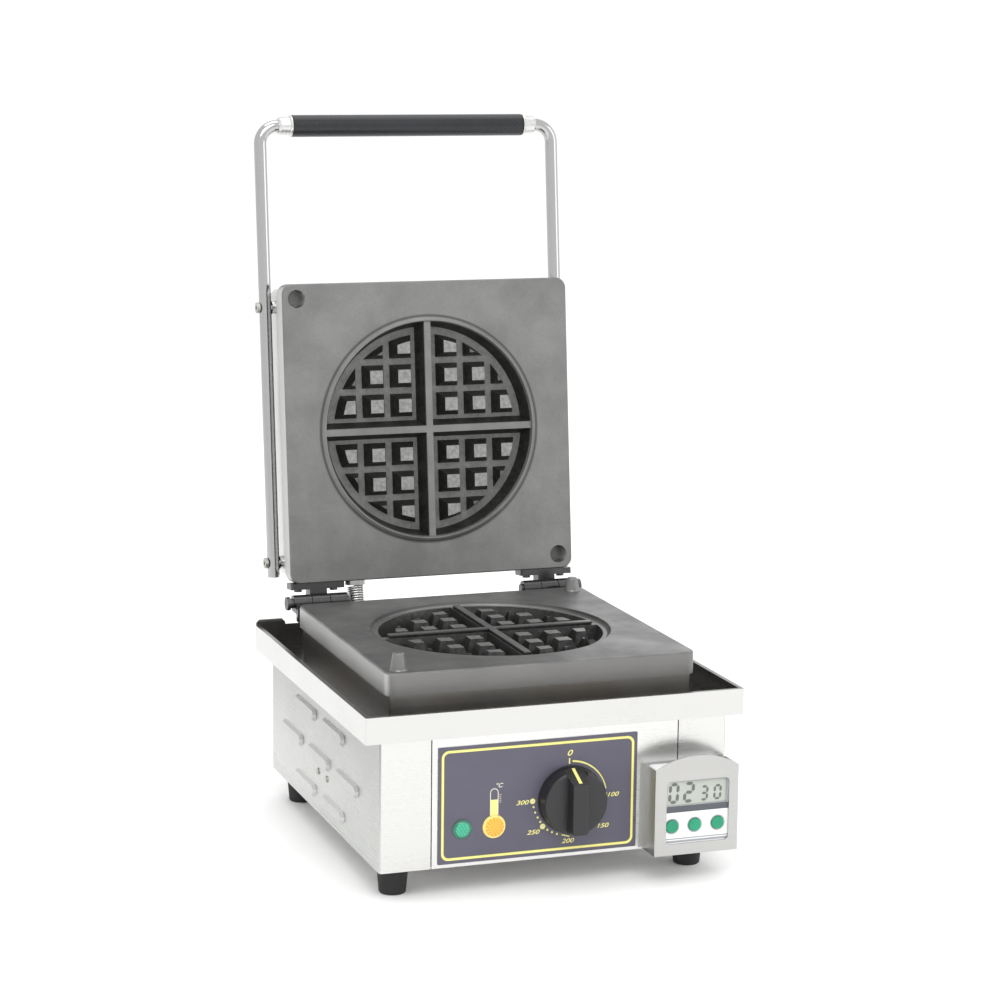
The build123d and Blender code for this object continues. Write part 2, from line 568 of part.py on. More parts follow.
with BuildPart() as grip_ferrules:
    for side in (-1, 1):
        with BuildSketch(lid_plane(ROD_S1, ROD_N, "z")):
            with BuildLine():
                a, b = side * (GRIP_X + 0.1), side * 114.4
                Polyline((a, 5.3), (a, 8.9), (a + side * 1.2, 8.9), (a + side * 2.2, 7.9), (b - side * 1.5, 7.4),
                         (b, 6.4), (b, 5.3), (a, 5.3))
            make_face()
        revolve(axis=Axis(lid_point(0, ROD_S1, ROD_N), (1, 0, 0)))
grip_ferrules.part.label = "grip_ferrules"
export_step(centred(grip_ferrules.part), "parts/grip_ferrules.step")

with BuildPart() as handle_spacers:
    for side in (-1, 1):
        for s in (15.3, 230.8):
            with BuildSketch(lid_plane(s, ROD_N, "x", side * (ROD_X - ROD_R - 2.75) if side > 0 else -(ROD_X - ROD_R))):
                Circle(5.5)
                Circle(2.6, mode=Mode.SUBTRACT)
            extrude(amount=2.75)
handle_spacers.part.label = "handle_spacers"
export_step(centred(handle_spacers.part), "parts/handle_spacers.step")

with BuildPart() as handle_screws:
    for side in (-1, 1):
        for s in (15.3, 230.8):
            o = lid_point(side * (ROD_X + ROD_R), s, ROD_N)
            with BuildSketch(Plane(origin=o, x_dir=LID.y_dir, z_dir=(side, 0, 0))):
                Circle(4.6)
                RegularPolygon(2.0, 6, mode=Mode.SUBTRACT)
            extrude(amount=2.6)
            with BuildSketch(Plane(origin=o, x_dir=LID.y_dir, z_dir=(-side, 0, 0))):
                Circle(2.5)
            extrude(amount=18)
            with BuildSketch(Plane(origin=lid_point(side * (CASE_W / 2 - SHEET), s, ROD_N), x_dir=LID.y_dir, z_dir=(-side, 0, 0))):
                RegularPolygon(4.4, 6)
            extrude(amount=3.6)
handle_screws.part.label = "handle_screws"
export_step(centred(handle_screws.part), "parts/handle_screws.step")

# ====================================================================== hinges
with BuildPart() as hinge_lugs:
    for side in (-1, 1):
        with BuildSketch(Plane(origin=(side * HINGE_X, PLATE_Y1, 0), x_dir=(-1, 0, 0), z_dir=(0, 1, 0))):
            with Locations((0, 160.9)):
                RectangleRounded(46.4, 15.4, 2.0)
            with Locations((19, 156.4), (-19, 156.4)):
                Circle(2.1, mode=Mode.SUBTRACT)
        extrude(amount=5.0)
        for dx in (-15.75, 15.75):
            with BuildSketch(Plane(origin=(side * HINGE_X + dx - KNUCKLE_W / 2, 0, 0), x_dir=(0, 1, 0), z_dir=(1, 0, 0))):
                with Locations((PIV_Y, PIV_Z)):
                    Circle(KNUCKLE_R)
                with BuildLine():
                    Polyline((PLATE_Y1 + 4, 160.25), (PIV_Y, 160.25), (PIV_Y, 168.4), (PLATE_Y1 + 4, 168.4),
                             (PLATE_Y1 + 4, 160.25))
                make_face()
                with Locations((PIV_Y, PIV_Z)):
                    Circle(PIN_R + PIN_FIT, mode=Mode.SUBTRACT)
            extrude(amount=KNUCKLE_W)
hinge_lugs.part.label = "hinge_lugs"
export_step(centred(hinge_lugs.part), "parts/hinge_lugs.step")

with BuildPart() as lug_screws:
    for side in (-1, 1):
        for dx in (-19, 19):
            with BuildSketch(Plane(origin=(side * HINGE_X + dx, PLATE_Y1 + 5.0, 156.4), x_dir=(-1, 0, 0), z_dir=(0, 1, 0))):
                Circle(3.3)
                RegularPolygon(1.6, 6, mode=Mode.SUBTRACT)
            extrude(amount=2.4)
            with BuildSketch(Plane(origin=(side * HINGE_X + dx, PLATE_Y1, 156.4), x_dir=(-1, 0, 0), z_dir=(0, 1, 0))):
                Circle(2.0)
            extrude(amount=5.0)
lug_screws.part.label = "lug_screws"
export_step(centred(lug_screws.part), "parts/lug_screws.step")

with BuildPart() as hinge_pins:
    for side in (-1, 1):
        x0 = side * HINGE_X - (29.0 if side < 0 else 25.4)
        with BuildSketch(Plane(origin=(x0, PIV_Y, PIV_Z), x_dir=(0, 1, 0), z_dir=(1, 0, 0))):
            Circle(PIN_R)
        extrude(amount=54.4)
        xh = side * HINGE_X + (-29.0 if side < 0 else 26.2)
        with BuildSketch(Plane(origin=(xh, PIV_Y, PIV_Z), x_dir=(0, 1, 0), z_dir=(1, 0, 0))):
            Circle(5.6)
        extrude(amount=2.8)
hinge_pins.part.label = "hinge_pins"
export_step(centred(hinge_pins.part), "parts/hinge_pins.step")

with BuildPart() as hinge_arms:
    for side in (-1, 1):
        with BuildSketch(lid_plane(-5.0, 8.75, "y", side * HINGE_X)):
            RectangleRounded(46.4, 16.5, 2.0)
            with Locations((15.5, 0), (-15.5, 0)):
                Circle(2.1, mode=Mode.SUBTRACT)
        extrude(amount=5.0)
        # lid_plane "x": local x runs up the plate, local y runs out of its face
        with BuildSketch(Plane(origin=(side * HINGE_X - 7.5, PIV_Y, PIV_Z), x_dir=LID.y_dir, z_dir=(1, 0, 0))) as _arm:
            Circle(KNUCKLE_R)
            with BuildLine():
                k = 1 if _arm.workplanes[0].y_dir.dot(LID.z_dir) > 0 else -1
                Polyline((-2.0, -k * (FACE_H + 0.5)), (ARM - 4.0, -k * (FACE_H + 0.5)), (ARM - 4.0, -k * 15.6),
                         (5.0, -k * 15.6), (-5.0, -k * 4.0), (-2.0, -k * (FACE_H + 0.5)))
            make_face()
            Circle(PIN_R + PIN_FIT, mode=Mode.SUBTRACT)
        extrude(amount=15.0)
hinge_arms.part.label = "hinge_arms"
export_step(centred(hinge_arms.part), "parts/hinge_arms.step")

with BuildPart() as arm_screws:
    for side in (-1, 1):
        with BuildSketch(lid_plane(-5.0, 8.75, "-y", side * HINGE_X)):
            with Locations((15.5, 0), (-15.5, 0)):
                Circle(3.3)
                RegularPolygon(1.6, 6, mode=Mode.SUBTRACT)
        extrude(amount=2.4)
        with BuildSketch(lid_plane(-5.0, 8.75, "y", side * HINGE_X)):
            with Locations((15.5, 0), (-15.5, 0)):
                Circle(2.0)
        extrude(amount=5.0)
arm_screws.part.label = "arm_screws"
export_step(centred(arm_screws.part), "parts/arm_screws.step")

# ============================================ spiral conduit to the lid heater
with BuildPart() as conduit_socket:
    with BuildSketch(lid_plane(-4.0, 8.75, "y", CONDUIT_X)):
        Circle(8.4)
        Circle(5.2, mode=Mode.SUBTRACT)
    extrude(amount=4.0)
conduit_socket.part.label = "conduit_socket"
export_step(centred(conduit_socket.part), "parts/conduit_socket.step")

_top = lid_point(CONDUIT_X, -5.2, 8.75)
_bot = (CONDUIT_X, CONDUIT_Y0, TRAY_Z0 - 4.0)
CONDUIT_DIR = Vector(0, _top[1] - _bot[1], _top[2] - _bot[2])
with BuildPart() as lid_conduit:
    with BuildSketch(Plane(origin=_bot, x_dir=(1, 0, 0), z_dir=CONDUIT_DIR)):
        Circle(CONDUIT_R)
        Circle(CONDUIT_R - 1.8, mode=Mode.SUBTRACT)
    extrude(amount=CONDUIT_DIR.length)
lid_conduit.part.label = "lid_conduit"
export_step(centred(lid_conduit.part), "parts/lid_conduit.step")

with BuildPart() as conduit_gland:
    with BuildSketch(Plane(origin=(CONDUIT_X, CONDUIT_Y0, TRAY_Z0 - 4.0))):
        Circle(10.3)
        Circle(8.6, mode=Mode.SUBTRACT)
    extrude(amount=3.8)
conduit_gland.part.label = "conduit_gland"
export_step(centred(conduit_gland.part), "parts/conduit_gland.step")

# ======================================================= front controls: label
LABEL_Y = BODY_Y0 - LABEL_T
with BuildPart() as control_label:
    with BuildSketch(Plane(origin=(0, BODY_Y0, 0), x_dir=(1, 0, 0), z_dir=(0, -1, 0))):
        with Locations(((LABEL_X0 + LABEL_X1) / 2, (LABEL_Z0 + LABEL_Z1) / 2)):
            RectangleRounded(LABEL_X1 - LABEL_X0, LABEL_Z1 - LABEL_Z0, 0.7)
        with Locations((DIAL_X, DIAL_Z)):
            Circle(5.0, mode=Mode.SUBTRACT)
        with Locations((GREEN_X, GREEN_Z), (ORANGE_X, ORANGE_Z)):
            Circle(6.0, mode=Mode.SUBTRACT)
    extrude(amount=LABEL_T)
control_label.part.label = "control_label"
export_step(centred(control_label.part), "parts/control_label.step")


def lamp_profile(x, z, r, rim):
    with BuildSketch(Plane(origin=(x, 0, z), x_dir=(1, 0, 0), z_dir=(0, 0, 1))) as sk:
        y = LABEL_Y
        with BuildLine():
            Polyline((0, y + 8.0), (5.7, y + 8.0), (5.7, y), (r, y), (r, y - rim), (r - 1.2, y - rim - 0.4))
            # a part of a sphere, 2 mm high, over the rim
            a, h = r - 1.2, 2.0
            big = (a * a + h * h) / (2 * h)
            ThreePointArc((a, y - rim - 0.4),
                          (a / 2, y - rim - 0.4 - h + big - math.sqrt(big * big - a * a / 4)),
                          (0, y - rim - 0.4 - h))
            Line((0, y - rim - 2.4), (0, y + 8.0))
        make_face()
    return sk.sketch


with BuildPart() as green_lamp:
    revolve(lamp_profile(GREEN_X, GREEN_Z, 7.4, 0.9), axis=Axis((GREEN_X, 0, GREEN_Z), (0, 1, 0)))
green_lamp.part.label = "green_lamp"
export_step(centred(green_lamp.part), "parts/green_lamp.step")

with BuildPart() as orange_lamp:
    revolve(lamp_profile(ORANGE_X, ORANGE_Z, 8.6, 0.9), axis=Axis((ORANGE_X, 0, ORANGE_Z), (0, 1, 0)))
orange_lamp.part.label = "orange_lamp"
export_step(centred(orange_lamp.part), "parts/orange_lamp.step")

with BuildPart() as lamp_housings:
    for x, z in ((GREEN_X, GREEN_Z), (ORANGE_X, ORANGE_Z)):
        with BuildSketch(Plane(origin=(x, LABEL_Y + 8.0, z), x_dir=(-1, 0, 0), z_dir=(0, 1, 0))):
            Circle(7.4)
        extrude(amount=16)
        with BuildSketch(Plane(origin=(x, LABEL_Y + 24.0, z), x_dir=(-1, 0, 0), z_dir=(0, 1, 0))):
            with Locations((3, 0), (-3, 0)):
                Rectangle(1.0, 4.8)
        extrude(amount=8)
lamp_housings.part.label = "lamp_housings"
export_step(centred(lamp_housings.part), "parts/lamp_housings.step")

# ================================================================== thermostat
with BuildPart() as thermostat_body:
    with BuildSketch(Plane(origin=(DIAL_X, BODY_Y0 + SHEET, DIAL_Z), x_dir=(-1, 0, 0), z_dir=(0, 1, 0))):
        RectangleRounded(38, 34, 2)
        Circle(3.05, mode=Mode.SUBTRACT)
    extrude(amount=13)
    with BuildSketch(Plane(origin=(DIAL_X, BODY_Y0 + SHEET + 13, DIAL_Z), x_dir=(-1, 0, 0), z_dir=(0, 1, 0))):
        RectangleRounded(34, 30, 2)
    extrude(amount=20)
thermostat_body.part.label = "thermostat_body"
export_step(centred(thermostat_body.part), "parts/thermostat_body.step")

BULB_Z = LOW_BOT - 3.0
with BuildPart() as thermostat_bulb:
    with BuildSketch(Plane(origin=(-20, CAP_Y, BULB_Z), x_dir=(0, 1, 0), z_dir=(1, 0, 0))):
        Circle(3.0)
    extrude(amount=66)
    with BuildLine():
        FilletPolyline((45, CAP_Y, BULB_Z), (CAP_X, CAP_Y, BULB_Z), (CAP_X, CAP_Y, 108), (DIAL_X + 12, -125, 96),
                       (DIAL_X + 12, -125, DIAL_Z + 15.0), radius=5)
    with BuildSketch(Plane(origin=(45, CAP_Y, BULB_Z), x_dir=(0, 1, 0), z_dir=(1, 0, 0))):
        Circle(1.2)
    sweep()
thermostat_bulb.part.label = "thermostat_bulb"
export_step(centred(thermostat_bulb.part), "parts/thermostat_bulb.step")

KNOB_Y = LABEL_Y - 0.5                        # back of the knob
with BuildPart() as thermostat_shaft:
    with BuildSketch(Plane(origin=(DIAL_X, BODY_Y0 + SHEET + 11, DIAL_Z), x_dir=(1, 0, 0), z_dir=(0, -1, 0))):
        Circle(3.0)
    extrude(amount=BODY_Y0 + SHEET + 11 - (KNOB_Y - 12))
thermostat_shaft.part.label = "thermostat_shaft"
export_step(centred(thermostat_shaft.part), "parts/thermostat_shaft.step")

SLOPE_0 = (KNOB_Y - 2.2, DIAL_Z + 26.2)       # sloped end of the grip bar, in Y and Z
SLOPE_1 = (KNOB_Y - KNOB_GRIP - 0.5, DIAL_Z + 16.6)
_run = math.hypot(SLOPE_1[0] - SLOPE_0[0], SLOPE_1[1] - SLOPE_0[1])
_along = ((SLOPE_1[0] - SLOPE_0[0]) / _run, (SLOPE_1[1] - SLOPE_0[1]) / _run)
_out = (_along[1], -_along[0])


def slope_strip(low, high):
    """Side view of a strip on the slope, between two heights over it."""
    pts = [(SLOPE_0[0] + _along[0] * a + _out[0] * h, SLOPE_0[1] + _along[1] * a + _out[1] * h)
           for a, h in ((2.6, low), (_run - 3.4, low), (_run - 3.4, high), (2.6, high))]
    with BuildSketch(Plane(origin=(DIAL_X, 0, 0), x_dir=(0, 1, 0), z_dir=(1, 0, 0))) as sk:
        with BuildLine():
            Polyline(*pts, close=True)
        make_face()
    return sk.sketch


KNOB_BACK = Plane(origin=(DIAL_X, KNOB_Y, DIAL_Z), x_dir=(1, 0, 0), z_dir=(0, -1, 0))
with BuildPart() as thermostat_knob:
    with BuildSketch(KNOB_BACK):
        Circle(KNOB_R + 0.7)
    extrude(amount=2.2)
    with BuildSketch(KNOB_BACK.offset(2.2)):
        Circle(KNOB_R)
    extrude(amount=KNOB_H - 2.2, taper=2.5)
    rim = thermostat_knob.faces().sort_by(Axis.Y)[0].edges()
    fillet(rim, 2.0)
    # grip bar across the knob
    with BuildSketch(KNOB_BACK.offset(KNOB_H - 4)):
        RectangleRounded(16.0, 2 * KNOB_R - 3.0, 4.0)
    extrude(amount=KNOB_GRIP - KNOB_H + 4, taper=7)
    top = thermostat_knob.faces().sort_by(Axis.Y)[0].edges()
    fillet(top, 1.6)
    # bore for the shaft and the slot of the pointer
    with BuildSketch(KNOB_BACK):
        Circle(3.02)
    extrude(amount=12.0, mode=Mode.SUBTRACT)
    with BuildSketch(Plane(origin=(DIAL_X, 0, 0), x_dir=(0, 1, 0), z_dir=(1, 0, 0))):
        with BuildLine():
            Polyline(SLOPE_0, SLOPE_1, (SLOPE_1[0], DIAL_Z + 31), (SLOPE_0[0], DIAL_Z + 31), SLOPE_0)
        make_face()
    extrude(amount=8.6, both=True, mode=Mode.SUBTRACT)
    extrude(slope_strip(-1.0, 4.0), amount=1.25, both=True, mode=Mode.SUBTRACT)
thermostat_knob.part.label = "thermostat_knob"
export_step(centred(thermostat_knob.part), "parts/thermostat_knob.step")

with BuildPart() as knob_pointer:
    extrude(slope_strip(-1.0, 0.15), amount=1.25, both=True)
knob_pointer.part.label = "knob_pointer"
export_step(centred(knob_pointer.part), "parts/knob_pointer.step")

# ======================================================================= timer
T_Y0 = BODY_Y0 - TIMER_OFF                    # front of the holder
with BuildPart() as timer_holder:
    # front plate with its arched top and the window
    with BuildSketch(Plane(origin=(0, T_Y0, 0), x_dir=(-1, 0, 0), z_dir=(0, 1, 0))):
        xm = (TIMER_X0 + TIMER_X1) / 2
        with BuildLine():
            Polyline((-TIMER_X0, TIMER_Z1), (-TIMER_X0, TIMER_Z0), (-TIMER_X1, TIMER_Z0), (-TIMER_X1, TIMER_Z1))
            ThreePointArc((-TIMER_X1, TIMER_Z1), (-xm, TIMER_ARCH), (-TIMER_X0, TIMER_Z1))
        make_face()
        with Locations((-(WIN_X0 + WIN_X1) / 2, (WIN_Z0 + WIN_Z1) / 2)):
            RectangleRounded(WIN_X1 - WIN_X0, WIN_Z1 - WIN_Z0, 3.5, mode=Mode.SUBTRACT)
    extrude(amount=SHEET)
    # bottom and the two sides
    with BuildSketch(Plane.XY.offset(TIMER_Z0)):
        with Locations(((TIMER_X0 + TIMER_X1) / 2, BODY_Y0 - TIMER_OFF / 2)):
            Rectangle(TIMER_X1 - TIMER_X0, TIMER_OFF)
    extrude(amount=SHEET)
    for x in (TIMER_X0 + SHEET / 2, TIMER_X1 - SHEET / 2):
        with BuildSketch(Plane.XY.offset(TIMER_Z0)):
            with Locations((x, BODY_Y0 - TIMER_OFF / 2)):
                Rectangle(SHEET, TIMER_OFF)
        extrude(amount=TIMER_Z1 - TIMER_Z0)
    # back plate against the panel, with a narrow flange on the left
    with BuildSketch(Plane(origin=(0, BODY_Y0, 0), x_dir=(1, 0, 0), z_dir=(0, -1, 0))):
        with Locations(((TIMER_X0 - 3.4 + TIMER_X1 - 1.0) / 2, (TIMER_Z0 + TIMER_Z1) / 2 + 0.6)):
            Rectangle(TIMER_X1 - 1.0 - (TIMER_X0 - 3.4), TIMER_Z1 - TIMER_Z0 - 1.2)
    extrude(amount=SHEET)
timer_holder.part.label = "timer_holder"
export_step(centred(timer_holder.part), "parts/timer_holder.step")

CASE_Y0, CASE_Y1 = T_Y0 + SHEET + 0.4, BODY_Y0 - SHEET - 0.4
CASE_X0, CASE_X1 = TIMER_X0 + SHEET + 0.5, TIMER_X1 - SHEET - 0.5
CASE_Z0, CASE_Z1 = TIMER_Z0 + SHEET, TIMER_Z1 - 1.0
CASE_YM = CASE_Y0 + 6.0                       # split of the timer's two shells
with BuildPart() as timer_case_front:
    with BuildSketch(Plane(origin=(0, CASE_Y0, 0), x_dir=(-1, 0, 0), z_dir=(0, 1, 0))):
        with Locations((-(CASE_X0 + CASE_X1) / 2, (CASE_Z0 + CASE_Z1) / 2)):
            RectangleRounded(CASE_X1 - CASE_X0, CASE_Z1 - CASE_Z0, 4.0)
        # display opening and the three button bores
        with Locations((-(WIN_X0 + WIN_X1) / 2, 72.2)):
            Rectangle(WIN_X1 - WIN_X0 - 1.6, 19.0, mode=Mode.SUBTRACT)
        with Locations(*[(-x, BUTTON_Z) for x in BUTTON_X]):
            Circle(BUTTON_R + 0.35, mode=Mode.SUBTRACT)
    extrude(amount=CASE_YM - CASE_Y0)
timer_case_front.part.label = "timer_case_front"
export_step(centred(timer_case_front.part), "parts/timer_case_front.step")

with BuildPart() as timer_case_back:
    with BuildSketch(Plane(origin=(0, CASE_YM, 0), x_dir=(-1, 0, 0), z_dir=(0, 1, 0))):
        with Locations((-(CASE_X0 + CASE_X1) / 2, (CASE_Z0 + CASE_Z1) / 2)):
            RectangleRounded(CASE_X1 - CASE_X0, CASE_Z1 - CASE_Z0, 4.0)
    extrude(amount=CASE_Y1 - CASE_YM)
    with BuildSketch(Plane(origin=(0, CASE_YM, 0), x_dir=(-1, 0, 0), z_dir=(0, 1, 0))):
        with Locations((-(CASE_X0 + CASE_X1) / 2, (CASE_Z0 + CASE_Z1) / 2)):
            RectangleRounded(CASE_X1 - CASE_X0 - 3, CASE_Z1 - CASE_Z0 - 3, 3.0)
    extrude(amount=CASE_Y1 - CASE_YM - 1.6, mode=Mode.SUBTRACT)
timer_case_back.part.label = "timer_case_back"
export_step(centred(timer_case_back.part), "parts/timer_case_back.step")

with BuildPart() as timer_display:
    with BuildSketch(Plane(origin=(0, CASE_Y0 + 0.8, 0), x_dir=(-1, 0, 0), z_dir=(0, 1, 0))):
        with Locations((-(WIN_X0 + WIN_X1) / 2, 72.2)):
            Rectangle(WIN_X1 - WIN_X0 - 1.8, 18.8)
    extrude(amount=3.0)
timer_display.part.label = "timer_display"
export_step(centred(timer_display.part), "parts/timer_display.step")

with BuildPart() as timer_circuit_board:
    with BuildSketch(Plane(origin=(0, CASE_YM + 0.8, 0), x_dir=(-1, 0, 0), z_dir=(0, 1, 0))):
        with Locations((-(CASE_X0 + CASE_X1) / 2, 57.5)):
            Rectangle(CASE_X1 - CASE_X0 - 6, 52)
    extrude(amount=1.6)
timer_circuit_board.part.label = "timer_circuit_board"
export_step(centred(timer_circuit_board.part), "parts/timer_circuit_board.step")

with BuildPart() as timer_battery:
    with BuildSketch(Plane(origin=((TIMER_X0 + TIMER_X1) / 2, CASE_YM + 4.0, 52), x_dir=(-1, 0, 0), z_dir=(0, 1, 0))):
        Circle(10.0)
    extrude(amount=3.2)
timer_battery.part.label = "timer_battery"
export_step(centred(timer_battery.part), "parts/timer_battery.step")


def button_sketches(x):
    with BuildSketch(Plane(origin=(x, CASE_Y0 - 1.4, BUTTON_Z), x_dir=(1, 0, 0), z_dir=(0, 1, 0))) as sk:
        Circle(BUTTON_R)
    return sk.sketch


with BuildPart() as timer_button_left:
    extrude(button_sketches(BUTTON_X[0]), amount=5.4)
    fillet(timer_button_left.faces().sort_by(Axis.Y)[0].edges(), 0.8)
timer_button_left.part.label = "timer_button_left"
export_step(centred(timer_button_left.part), "parts/timer_button_left.step")

with BuildPart() as timer_button_middle:
    extrude(button_sketches(BUTTON_X[1]), amount=5.4)
    fillet(timer_button_middle.faces().sort_by(Axis.Y)[0].edges(), 0.8)
timer_button_middle.part.label = "timer_button_middle"
export_step(centred(timer_button_middle.part), "parts/timer_button_middle.step")

with BuildPart() as timer_button_right:
    extrude(button_sketches(BUTTON_X[2]), amount=5.4)
    fillet(timer_button_right.faces().sort_by(Axis.Y)[0].edges(), 0.8)
timer_button_right.part.label = "timer_button_right"
export_step(centred(timer_button_right.part), "parts/timer_button_right.step")

# ============================================================ inside and behind
with BuildPart() as terminal_block:
    with BuildSketch(Plane.XY.offset(BODY_Z0 + SHEET)):
        with Locations((-70, 112)):
            Rectangle(58, 24)
    extrude(amount=20)
    with BuildSketch(Plane.XY.offset(BODY_Z0 + SHEET + 20)):
        with Locations((-70, 112)):
            with GridLocations(13, 13, 4, 2):
                Circle(3.2)
    extrude(amount=-7, mode=Mode.SUBTRACT)
    with BuildSketch(Plane(origin=(0, 90, 0), x_dir=(1, 0, 0), z_dir=(0, 1, 0))):
        with Locations(*[(-70 + 13 * (i - 1.5), -(BODY_Z0 + SHEET + 9)) for i in range(4)]):
            Circle(2.4)
    extrude(amount=50, mode=Mode.SUBTRACT)
terminal_block.part.label = "terminal_block"
export_step(centred(terminal_block.part), "parts/terminal_block.step")

with BuildPart() as cable_gland:
    with BuildSketch(Plane(origin=(GLAND_X, BODY_Y1, GLAND_Z), x_dir=(-1, 0, 0), z_dir=(0, 1, 0))):
        RegularPolygon(12.0, 6)
    extrude(amount=5.0)
    with BuildSketch(Plane(origin=(GLAND_X, BODY_Y1 + 5.0, GLAND_Z), x_dir=(-1, 0, 0), z_dir=(0, 1, 0))):
        Circle(10.0)
    extrude(amount=9.0, taper=12)
    with BuildSketch(Plane(origin=(GLAND_X, BODY_Y1, GLAND_Z), x_dir=(1, 0, 0), z_dir=(0, -1, 0))):
        Circle(8.0)
    extrude(amount=9.0)
    with BuildSketch(Plane(origin=(GLAND_X, BODY_Y1 + 20.0, GLAND_Z), x_dir=(1, 0, 0), z_dir=(0, -1, 0))):
        Circle(4.2)
    extrude(amount=40.0, mode=Mode.SUBTRACT)
cable_gland.part.label = "cable_gland"
export_step(centred(cable_gland.part), "parts/cable_gland.step")

with BuildPart() as gland_nut:
    with BuildSketch(Plane(origin=(GLAND_X, BODY_Y1 - SHEET, GLAND_Z), x_dir=(1, 0, 0), z_dir=(0, -1, 0))):
        RegularPolygon(12.0, 6)
        Circle(8.05, mode=Mode.SUBTRACT)
    extrude(amount=5.0)
gland_nut.part.label = "gland_nut"
export_step(centred(gland_nut.part), "parts/gland_nut.step")
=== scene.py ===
import math

import bmesh
import bpy
from mathutils import Matrix, Vector


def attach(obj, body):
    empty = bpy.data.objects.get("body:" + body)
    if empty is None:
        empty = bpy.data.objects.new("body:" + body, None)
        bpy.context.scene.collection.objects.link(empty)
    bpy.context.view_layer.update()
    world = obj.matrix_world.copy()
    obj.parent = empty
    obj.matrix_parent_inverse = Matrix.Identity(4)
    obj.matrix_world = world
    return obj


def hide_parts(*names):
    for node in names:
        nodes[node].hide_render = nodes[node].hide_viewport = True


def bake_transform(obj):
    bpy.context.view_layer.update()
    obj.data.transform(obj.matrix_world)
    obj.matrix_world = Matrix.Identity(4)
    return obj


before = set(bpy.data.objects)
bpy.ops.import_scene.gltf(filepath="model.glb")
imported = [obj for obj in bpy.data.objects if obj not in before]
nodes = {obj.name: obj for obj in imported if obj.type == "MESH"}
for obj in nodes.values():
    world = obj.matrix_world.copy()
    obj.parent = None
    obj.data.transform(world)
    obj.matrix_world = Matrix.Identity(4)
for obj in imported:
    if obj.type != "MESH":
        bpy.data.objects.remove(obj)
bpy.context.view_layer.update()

scene = bpy.context.scene
scene.view_settings.view_transform = "Standard"

MM = 0.001
DY = -26.0                       # from the feet's middle to the object's
LABEL_Y = -155.6 + DY
CASE_Y = -177.2 + DY
LCD_Y = -176.4 + DY
LEAN = math.radians(6.27)
OUT = Vector((0, -math.cos(LEAN), math.sin(LEAN)))      # out of the open lid's face
UP = Vector((0, math.sin(LEAN), math.cos(LEAN)))        # up the open lid
LID0 = Vector((0, (138 + DY + 15.5 * math.sin(LEAN) + 2.65 * math.cos(LEAN)) * MM,
               (167 + 15.5 * math.cos(LEAN) - 2.65 * math.sin(LEAN)) * MM))
LOW_TOP = 169.4 * MM


